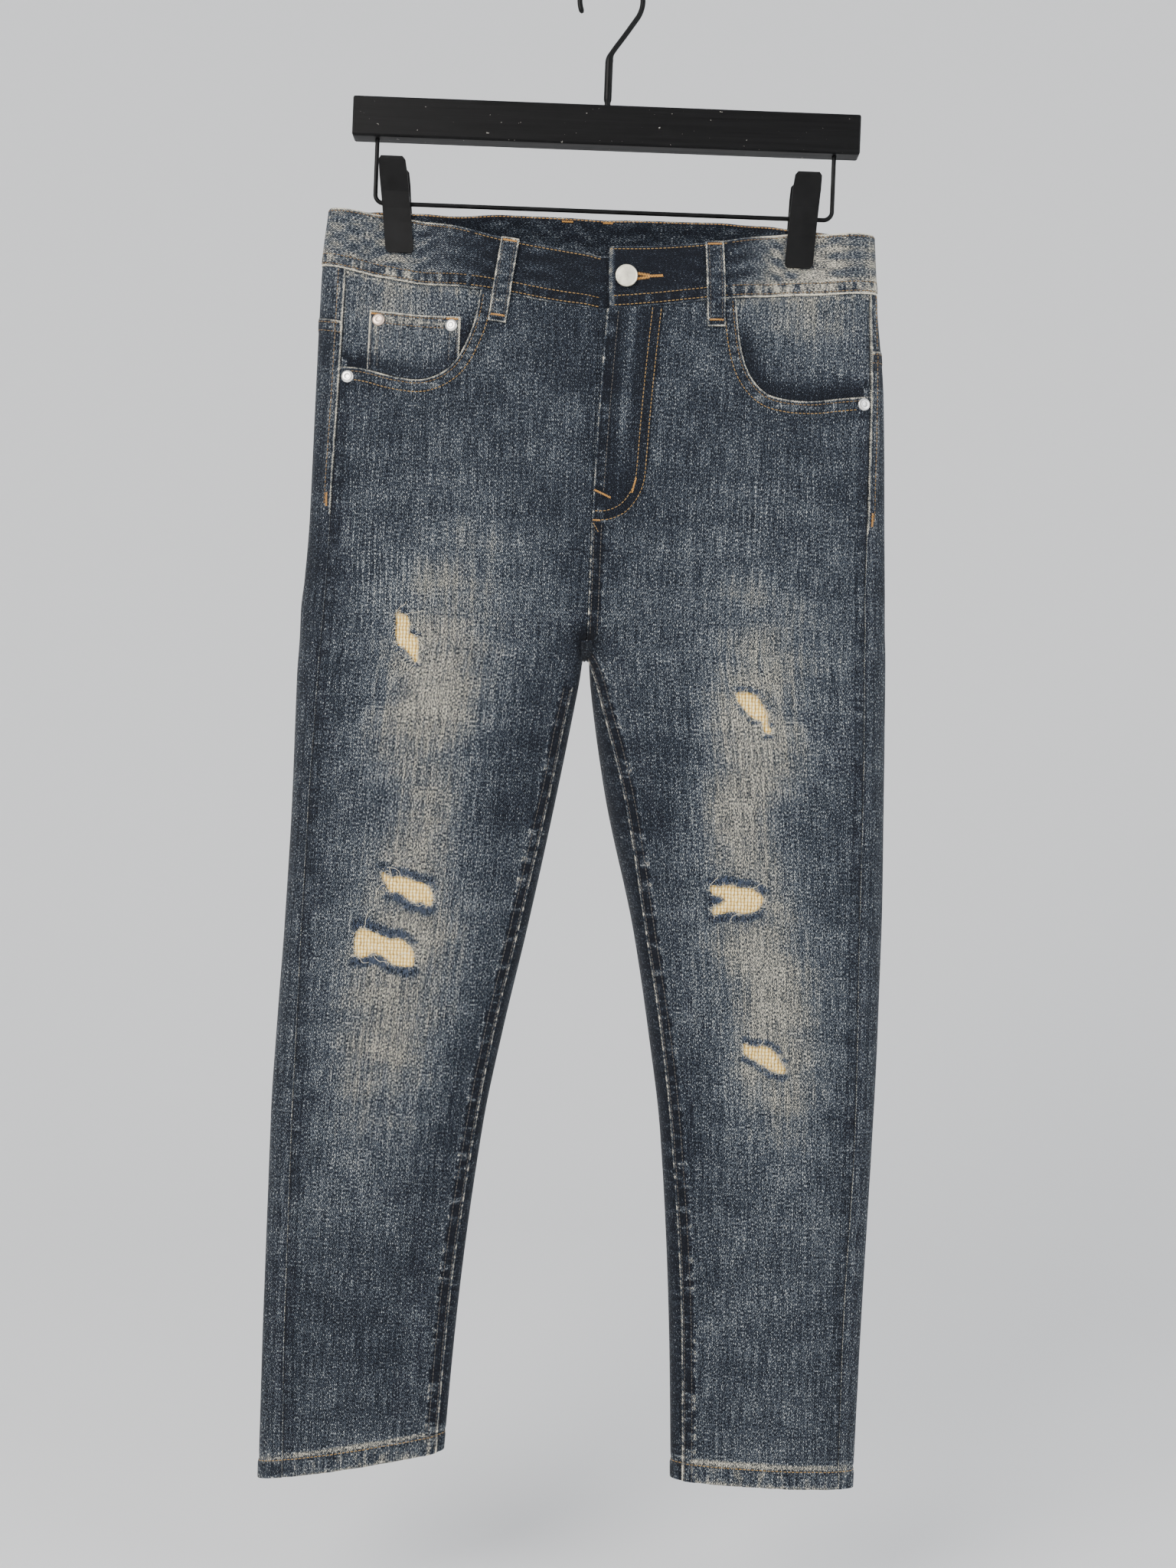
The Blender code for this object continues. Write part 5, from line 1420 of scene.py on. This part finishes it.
named = {piece.name: piece for piece in cloth}
bandSurface = surfaceOf(named["waistband_cloth"])
for side in sign:
    frontSurface, backSurface, yokeSurface = (surfaceOf(named[f"{name}_{side}"])
                                              for name in ("frontLeg", "backLeg", "backYoke"))
    frontGrid, backGrid, yokeGrid = (grids[name, side] for name in ("front", "back", "yoke"))
    for distance in sewing["inseamRows"]:
        firstStitch = min(frontLook["felledFrom"][side], body["crotch"] - 3)
        sewRow("dark", frontSurface, traceSeam(frontGrid, "toInseam", distance, firstStitch))
    for surface, grid in ((frontSurface, frontGrid), (backSurface, backGrid)):
        sewRow("gold", surface, traceLevel(grid, grid["hem"] + body["hemHeight"]))
    sewRow("brown", backSurface, traceSeam(backGrid, "toSide", sewing["sideRow"], foot=-412))
    sewRow("brown", yokeSurface, traceSeam(yokeGrid, "toSide", sewing["sideRow"]))
    for distance in sewing["seatRows"]:  # under the yoke, and down the middle of the back
        sewRow("brown", backSurface, traceLevel(backGrid, backGrid["top"] - distance))
        if side == "left":
            sewRow("gold", backSurface, traceSeam(backGrid, "toMiddle", distance, foot=body["crotch"] + 4))
            sewRow("gold", yokeSurface, traceSeam(yokeGrid, "toMiddle", distance))
    for colour, distance in sewing["mouthRows"].items():
        row = offsetLine(curveThrough(scoops[side]), distance)
        row = row[(row[:, 1] < bandEdge(side, "front", "Low", row[:, 0]) - 1)
                  & (row[:, 0] < legValue(side, "sideSeam", row[:, 1]) - 7)]
        sewRow(colour, frontSurface, onSkin(side, row))
    tackX = float(legValue(side, "sideSeam", np.float64(-406))) + 3.5
    bartack(backSurface, side, (tackX, -402), (tackX, -412), 1.6)

# The fly: two rows round its curve, one along its edge, three bartacks and a V under it, then the front seam.
flySurface = surfaceOf(named["flyPlacket"], named["frontLeg_left"])
curve = curveThrough([(45.7, -258.5), (42.6, -300), (40.4, -336), (38.8, -370), (37.6, -387), (33.4, -399),
                      (25, -410), (13, -416), (0.8, -417)])
inner = offsetLine(curve, sewing["flyCurve"])
for row in (curve, inner[inner[:, 0] > 0.8]):
    sewRow("gold", flySurface, onSkin("left", row))
sewRow("dark", flySurface, onSkin("left", curveThrough([(14.2, -262), (12.2, -300), (10.4, -336), (9.2, -370),
                                                        (8.2, -396)])))
for start, end, wide in (((1.2, -395), (13.6, -400.5), 1.5), ((31.8, -385), (29.2, -396), 1.3),
                         ((1.0, -417.2), (6.5, -417.2), 1.2)):
    bartack(flySurface, "left", start, end, wide)
sewRow("gold", flySurface, onSkin("left", [(1.4, -419), (3.2, -422), (5.6, -426)]), 2.2)
for x in (2.4, 7.6):
    sewRow("dark", flySurface, onSkin("left", [(x, z) for z in np.arange(-420, -504, -4)]))

# The band's rows: gold near the button, brown where it is faded, orange inside the back.
faded = -1.15  # angle at which the front's rows change
for height, fromTop in sewing["bandRows"]:
    sewRow("gold", bandSurface, traceBand(height, lambda side, angle, sunk: side == "left" and angle < faded
                                          and not sunk, fromTop))
    sewRow("brown", bandSurface, traceBand(height, lambda side, angle, sunk: angle >= faded, fromTop))
    sewRow("gold", bandSurface, traceBand(height, lambda side, angle, sunk: side == "right" and angle < faded,
                                          fromTop))
sewRow("orange", bandSurface, traceBand(1.3, lambda side, angle, sunk: angle > 0.35, True, True))

coinSurface = surfaceOf(named["coinPocket"])
for drop in coin["topRows"]:
    sewRow("brown", coinSurface, onSkin("right", [(x, coinTop(x) - drop)
                                                  for x in np.arange(coin["inner"] + 6, coin["outer"] - 6, 3)]))
for x in [coin["inner"] + gap for gap in coin["sideRows"]] + [coin["outer"] - gap for gap in coin["sideRows"]]:
    foot = float(np.interp(x, *curveThrough(scoops["right"])[20:].T)) + 3
    sewRow("dark", coinSurface, onSkin("right", [(x, z) for z in np.arange(coinTop(x) - 10, foot, -3)]))
for start, end in (((163, -266.6), (171, -265.8)), ((104.5, -270.8), (113.5, -270.0))):
    bartack(coinSurface, "right", start, end, 1.5)

for loop in loops:
    name, side, face, wide = loop[0], loop[1], loop[2], loop[7]
    loopSurface = surfaceOf(named["cloth_" + name])
    for edge in (-1, 1):
        x, z, _ = loopPlace(loop, np.linspace(0.05, 0.90, 22), edge * (wide / 2 - 2.5))
        sewRow("dark", loopSurface, onSkin(side, np.stack([x, z], -1), face))
    for share in (0.035, 0.925):
        x, z, _ = loopPlace(loop, np.array([share, share]), np.array([-1, 1]) * (wide / 2 - 1.6))
        bartack(loopSurface, side, (x[0], z[0]), (x[1], z[1]), 1.5, face)
for side, x in (("right", 27.5), ("left", 3.5)):  # the back loops' bartacks, seen inside the band
    zigzag = [(max(x + step, 0.4), -182.2 + (0.8 if k % 2 else -0.8))
              for k, step in enumerate(np.arange(-4.5, 4.5, 0.5))]
    points, normals = onSkin(side, zigzag, "back")
    tacks.append(settle(bandSurface, points, -normals, sewing["tackRise"]))
# the buttonhole: two worked lips that close into a bar
for start, end, wide in (((23.5, -233.2), (36, -234.7), 2.2), ((23.5, -238.0), (36, -236.0), 2.2),
                         ((35, -235.3), (46, -234.4), 2.0)):
    bartack(bandSurface, "left", start, end, wide)

stitches = stitchTree()
common = {"Fill": sewing["fill"], "Uneven": sewing["uneven"], "Seed": sewing["seed"]}
seams = [growMesh(f"stitches_{colour}", rows, stitches,
                  {**common, "Thickness": sewing["thick"] * mm, "Material": materials[colour]})
         for colour, rows in threads.items()]
seams.append(growMesh("bartacks", tacks, stitches,
                      {**common, "Fill": sewing["tackFill"], "Thickness": sewing["tackThick"] * mm,
                       "Material": materials["orange"]}))
print("sewing made")

# Frayed edges: indigo fringe above and below each rip, cream fuzz round it and a few long loose threads.
fray = {"fringe": 2.6, "fuzz": 1.1, "loose": 5, "indigoThick": 0.30, "creamThick": 0.22, "looseThick": 0.30,
        "seed": 23}


def frayStrand(surface, side, start, heading, length, chance, curl, lift, points=5):
    place, line, turn = np.array(start, float), [], heading
    for k in range(points):
        line.append(place.copy())
        place = place + length / (points - 1) * np.array([math.cos(turn), math.sin(turn)])
        turn += chance.normal(0, curl)
    spots, normals = onSkin(side, line)
    raised = settle(surface, spots, normals, 0.12)
    rises = lift * np.sin(np.linspace(0.15, 1, points) * math.pi * chance.uniform(0.55, 0.95))
    return raised + normals * rises[:, None]


indigo, cream, loose = [], [], []
tornSurfaces = {side: surfaceOf(named[f"frontLeg_{side}"], *(named[f"patchCloth_{name}"] for name in rips
                                                             if rips[name]["side"] == side)) for side in sign}
chance = np.random.default_rng(fray["seed"])
for name, rip in rips.items():
    side = rip["side"]
    around = tornSurfaces[side]
    outline = ripOutline(name)
    ahead = np.roll(outline, -1, 0) - np.roll(outline, 1, 0)
    ahead /= np.linalg.norm(ahead, axis=1)[:, None]
    outward = np.stack([ahead[:, 1], -ahead[:, 0]], -1)
    middle = outline.mean(0)
    outward *= np.sign(np.sum(outward * (outline - middle), 1).sum())
    girth = np.linalg.norm(np.roll(outline, -1, 0) - outline, axis=1).sum()
    for _ in range(int(girth * fray["fringe"] * rip["fringe"] / 5)):
        k = chance.integers(len(outline))
        if abs(outward[k][1]) < chance.uniform(0.35, 0.8):
            continue
        up = math.copysign(math.pi / 2, outward[k][1])
        start = outline[k] + outward[k] * chance.uniform(-1.0, rip["fringe"] * 0.75)
        length = chance.uniform(0.35, 0.8) * rip["fringe"]
        indigo.append(frayStrand(around, side, start, up + chance.normal(0, 0.55), length, chance, 0.5, 0.7))
    for _ in range(int(girth * fray["fuzz"])):
        k = chance.integers(len(outline))
        heading = math.atan2(outward[k][1], outward[k][0]) + chance.normal(0, 0.7)
        start = outline[k] - outward[k] * chance.uniform(0, 2.0)
        cream.append(frayStrand(around, side, start, heading, chance.uniform(1.5, 3.8), chance, 0.5, 0.5))
    for _ in range(fray["loose"]):
        k = chance.integers(len(outline))
        heading = math.atan2(ahead[k][1], ahead[k][0]) + chance.normal(0, 0.9)
        length = chance.uniform(7, 17)
        loose.append(frayStrand(around, side, outline[k], heading, length, chance, 0.45, 1.1, 10))
strands = strandTree()
frayed = [growMesh(name, lines, strands, {"Thickness": thick * mm, "Sides": 4, "Material": materials[colour]})
          for name, lines, colour, thick in (("fringe_indigo", indigo, "indigo", fray["indigoThick"]),
                                             ("fuzz_cream", cream, "cream", fray["creamThick"]),
                                             ("threads_loose", loose, "cream", fray["looseThick"]))]
print("frayed edges made")


# Hanger
def tubeObject(name, path, radii, material, sides=20):
    path = np.array(path, float)
    ahead = np.gradient(path, axis=0)
    ahead /= np.linalg.norm(ahead, axis=1)[:, None]
    up = np.array([0.0, 1.0, 0.0])
    rings = []
    for point, direction, radius in zip(path, ahead, np.broadcast_to(radii, len(path))):
        up = up - np.dot(up, direction) * direction
        up /= np.linalg.norm(up)
        other = np.cross(direction, up)
        turns = 2 * math.pi * np.arange(sides) / sides
        rings.append(point + radius * (np.cos(turns)[:, None] * up + np.sin(turns)[:, None] * other))
    verts = np.concatenate(rings)
    faces = [list(face) for face in gridFaces(len(path), sides, True)]
    faces += [list(range(sides)), list(range((len(path) - 1) * sides, len(path) * sides))[::-1]]
    made = newObject(name, verts, faces, material)
    shape = bmesh.new()
    shape.from_mesh(made.data)
    bmesh.ops.recalc_face_normals(shape, faces=shape.faces)
    shape.to_mesh(made.data)
    shape.free()
    return made


hanger = {"barTop": -103.0, "stemTop": -62.0, "sleeve": 3.0, "neck": 2.25, "neckHeight": 5.0, "sunk": 24.0,
          "wire": 2.0, "inside": 21.75, "tip": 205.0, "rail": 1.65, "railHalf": 172.0, "railZ": -181.0,
          "railBend": 6.5, "railSunk": 12.0, "barHeight": 30.0}


def hookPiece():
    radius = hanger["inside"] + hanger["wire"]
    centre = -hanger["inside"]
    top, stemTop = hanger["barTop"], hanger["stemTop"]
    touch = -math.asin(radius / (centre - stemTop))
    neckTop = top + hanger["neckHeight"]
    stem = [(0, 0, z) for z in (top - hanger["sunk"], top, neckTop - 1, neckTop)]
    stem += [(0, 0, z) for z in np.linspace(neckTop + 1.5, stemTop - 7, 6)]
    sizes = [hanger["neck"]] * 3 + [hanger["sleeve"] * 0.9] + [hanger["sleeve"]] * 6
    start = np.array([0, stemTop - 7])
    turns = np.radians(np.linspace(math.degrees(touch), hanger["tip"], 60))
    arc = np.stack([radius * np.cos(turns), centre + radius * np.sin(turns)], -1)
    bend = curveThrough([start, (0.7, stemTop - 2.2), (3.4, stemTop + 3.0),
                         (arc[0] * 0.5 + (1.5, stemTop * 0.5 + 1)), arc[0]], 8)[1:-1]
    path = stem + [(x, 0, z) for x, z in np.vstack([bend, arc])]
    thin = np.linspace(0, 1, len(bend))
    sizes += list(hanger["sleeve"] + (hanger["wire"] - hanger["sleeve"]) * soft(thin, 0.05, 0.45))
    sizes += [hanger["wire"]] * (len(arc) - 1) + [hanger["wire"] * 0.6]
    made = tubeObject("hookWire", path, sizes, materials["blackMetal"])
    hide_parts("hook")
    return made


def railPiece():
    bend, low = hanger["railBend"], hanger["barTop"] - hanger["barHeight"]
    corner = [(hanger["railHalf"] - bend + bend * math.cos(t), hanger["railZ"] + bend - bend * math.sin(t))
              for t in np.radians(np.linspace(0, 90, 12))]
    half = [(hanger["railHalf"], low + hanger["railSunk"])]
    half += [(hanger["railHalf"], z) for z in np.linspace(low - 2, hanger["railZ"] + bend + 4, 6)] + corner
    half += [(x, hanger["railZ"]) for x in np.linspace(158, 10, 12)]
    path = [(x, 0, z) for x, z in half] + [(-x, 0, z) for x, z in half[::-1]]
    made = tubeObject("railWire", path, hanger["rail"], materials["blackMetal"], 16)
    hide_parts("clip_rail")
    return made


# Button and rivets: node, side, place, radius, height, how far out the cloth lies there, material.
studs = [("button", "left", 19, -236, 8.3, 3.0, 0.9, "ivory"),
         ("rivet_coin_outer", "right", 165, -271, 4.65, 1.5, -0.2, "copper"),
         ("rivet_coin_inner", "right", 109.5, -275.5, 4.65, 1.5, -0.2, "nickel"),
         ("rivet_pocket_right", "right", 186, -315, 4.65, 1.5, 0.0, "nickel"),
         ("rivet_pocket_left", "left", 200, -321, 4.65, 1.5, 0.0, "nickel")]
studLook = {"seat": 0.4, "sides": 48,  # then the outlines: share of the radius, share of the height
            "button": [(0, 0), (0.55, 0), (0.60, 0.30), (0.95, 0.34), (1.0, 0.48), (0.995, 0.62), (0.96, 0.78),
                       (0.91, 0.86), (0.87, 0.84), (0.84, 0.80), (0.6, 0.86), (0.3, 0.93), (0, 0.96)],
            "rivet": [(0, 0), (0.95, 0), (1.0, 0.22), (0.97, 0.45), (0.86, 0.70), (0.68, 0.88), (0.50, 0.95),
                      (0.40, 0.86), (0.30, 0.74), (0, 0.70)]}


def studPiece(node, side, x, z, radius, height, seat, finish):
    seat += studLook["seat"]
    base = skin(side, np.float64(x), np.float64(z), np.float64(seat))
    axis = Vector(skin(side, np.float64(x), np.float64(z), np.float64(seat + 1.0)) - base).normalized()
    turned = axis.to_track_quat("Z", "Y").to_matrix()
    outline = curveThrough(studLook["button" if node == "button" else "rivet"], 3)
    turns = np.linspace(0, 2 * math.pi, studLook["sides"], endpoint=False)
    ring = np.stack([np.cos(turns), np.sin(turns), 0 * turns], -1)
    rows = np.array([ring * max(share, 0.01) * radius + (0, 0, rise * height) for share, rise in outline])
    verts = base + rows.reshape(-1, 3) @ np.array(turned).T
    faces = [list(face) for face in gridFaces(len(rows), len(turns), True)]
    faces += [list(range(len(turns)))[::-1], list(range(len(verts) - len(turns), len(verts)))]
    made = newObject("metal_" + node, verts, faces, materials[finish], flat=50.0)
    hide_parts(node)
    return made


for piece in [hookPiece(), railPiece()] + [studPiece(*stud) for stud in studs]:
    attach(piece, "root")
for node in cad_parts:
    thing = bpy.data.objects.get(node)
    look = "blackWood" if node == "hanger_bar" else "blackClip" if node.startswith("clip_") else None
    if thing and look:
        thing.data.materials.clear()
        thing.data.materials.append(materials[look])
print("hanger made")

# Each sheet's cut, in metres: width, length, area, what carries it and what is sewn on it.
jaws = [f"clip_{side}_jaw_{face}" for side in sign for face in ("front", "back")]
cuts = {
    "waistband_cloth": (0.90, 0.045, 0.0402, jaws, seams),
    "frontLeg_right": (0.205, 0.90, 0.1365, ["waistband"], allowances["right"]),
    "frontLeg_left": (0.21, 0.90, 0.139, ["waistband"], allowances["left"] + middles[:1] + frayed),
    "backLeg_right": (0.28, 0.87, 0.192, ["waistband"], []),
    "backLeg_left": (0.285, 0.87, 0.196, ["waistband"], middles[1:]),
    "backYoke_right": (0.24, 0.081, 0.0143, ["waistband"], []),
    "backYoke_left": (0.24, 0.081, 0.0143, ["waistband"], []),
    "pocketFacing_right": (0.12, 0.10, 0.0107, ["waistband"], []),
    "pocketFacing_left": (0.12, 0.10, 0.0114, ["waistband"], []),
    "coinPocket": (0.069, 0.053, 0.0033, ["pocket_facing_right"], []),
    "flyPlacket": (0.045, 0.158, 0.0060, ["waistband"], []),
    "cloth_belt_loop_front_right": (0.0145, 0.066, 0.00095, ["waistband"], []),
    "cloth_belt_loop_front_left": (0.0145, 0.066, 0.00095, ["waistband"], []),
    "cloth_belt_loop_back_right": (0.0105, 0.063, 0.00066, ["waistband"], []),
    "cloth_belt_loop_back_left": (0.0105, 0.063, 0.00066, ["waistband"], []),
}
for name, rip in rips.items():
    edge = np.array(rip["edge"])
    wide, long = (edge.max(0) - edge.min(0) + 2 * ripLook["margin"]) * mm

# Camera, light and floor, in metres
studio = {"lens": 40.0, "sensor": 36.0, "camera": (0.005, -1.312, -0.612), "roll": 2.2,
          "floor": -1.25, "flat": (0.01, 0.5, 1.2), "bend": 1.2, "wall": (0.6, 1.6), "pale": (0.80, 0.80, 0.80),
          "sky": (0.92, 0.95, 1.0, 1), "skyStrength": 1.15, "target": (0, 0, -0.6)}
lights = {"key": ((-1.2, -1.7, 0.5), (1.2, 1.2), 46, (1.0, 0.965, 0.92)),
          "fill": ((1.5, -1.3, -0.2), (1.0, 1.6), 18, (0.92, 0.96, 1.0))}  # place, size, power, colour


def sceneObject(name, data, matrix):
    thing = bpy.data.objects.new(name, data)
    bpy.context.scene.collection.objects.link(thing)
    thing.matrix_world = matrix
    return thing


camera = bpy.data.cameras.new("camera")
camera.sensor_width, camera.lens, camera.clip_end = studio["sensor"], studio["lens"], 50
level = Matrix.Translation(studio["camera"]) @ Matrix.Rotation(math.pi / 2, 4, "X")
roll = Matrix.Rotation(math.radians(studio["roll"]), 4, "Z")
bpy.context.scene.camera = sceneObject("camera", camera, level @ roll)

low, flat, bend = studio["floor"], studio["flat"], studio["bend"]
rings = [(r, low) for r in flat]
rings += [(flat[-1] + bend * math.sin(t), low + bend * (1 - math.cos(t)))
          for t in np.radians(np.linspace(8, 90, 12))]
rings += [(flat[-1] + bend, z) for z in studio["wall"]]
turns = np.linspace(0, 2 * np.pi, 72, endpoint=False)
verts = [(r * math.cos(t) / mm, r * math.sin(t) / mm, z / mm) for r, z in rings for t in turns]
floor = newObject("floor", verts, gridFaces(len(rings), len(turns), True)[:, ::-1],
                  newMaterial("paleFloor", 0.9, studio["pale"])[0])

world = bpy.data.worlds.new("softWorld")
bpy.context.scene.world = world
world.use_nodes = True
world.node_tree.nodes["Background"].inputs["Color"].default_value = studio["sky"]
world.node_tree.nodes["Background"].inputs["Strength"].default_value = studio["skyStrength"]
for name, (spot, size, power, colour) in lights.items():
    light = bpy.data.lights.new(name, "AREA")
    light.shape = "RECTANGLE"
    light.size, light.size_y = size
    light.energy, light.color = power, colour
    aim = (Vector(studio["target"]) - Vector(spot)).to_track_quat("-Z", "Y")
    sceneObject(name, light, Matrix.Translation(spot) @ aim.to_matrix().to_4x4())
print("camera and light set")
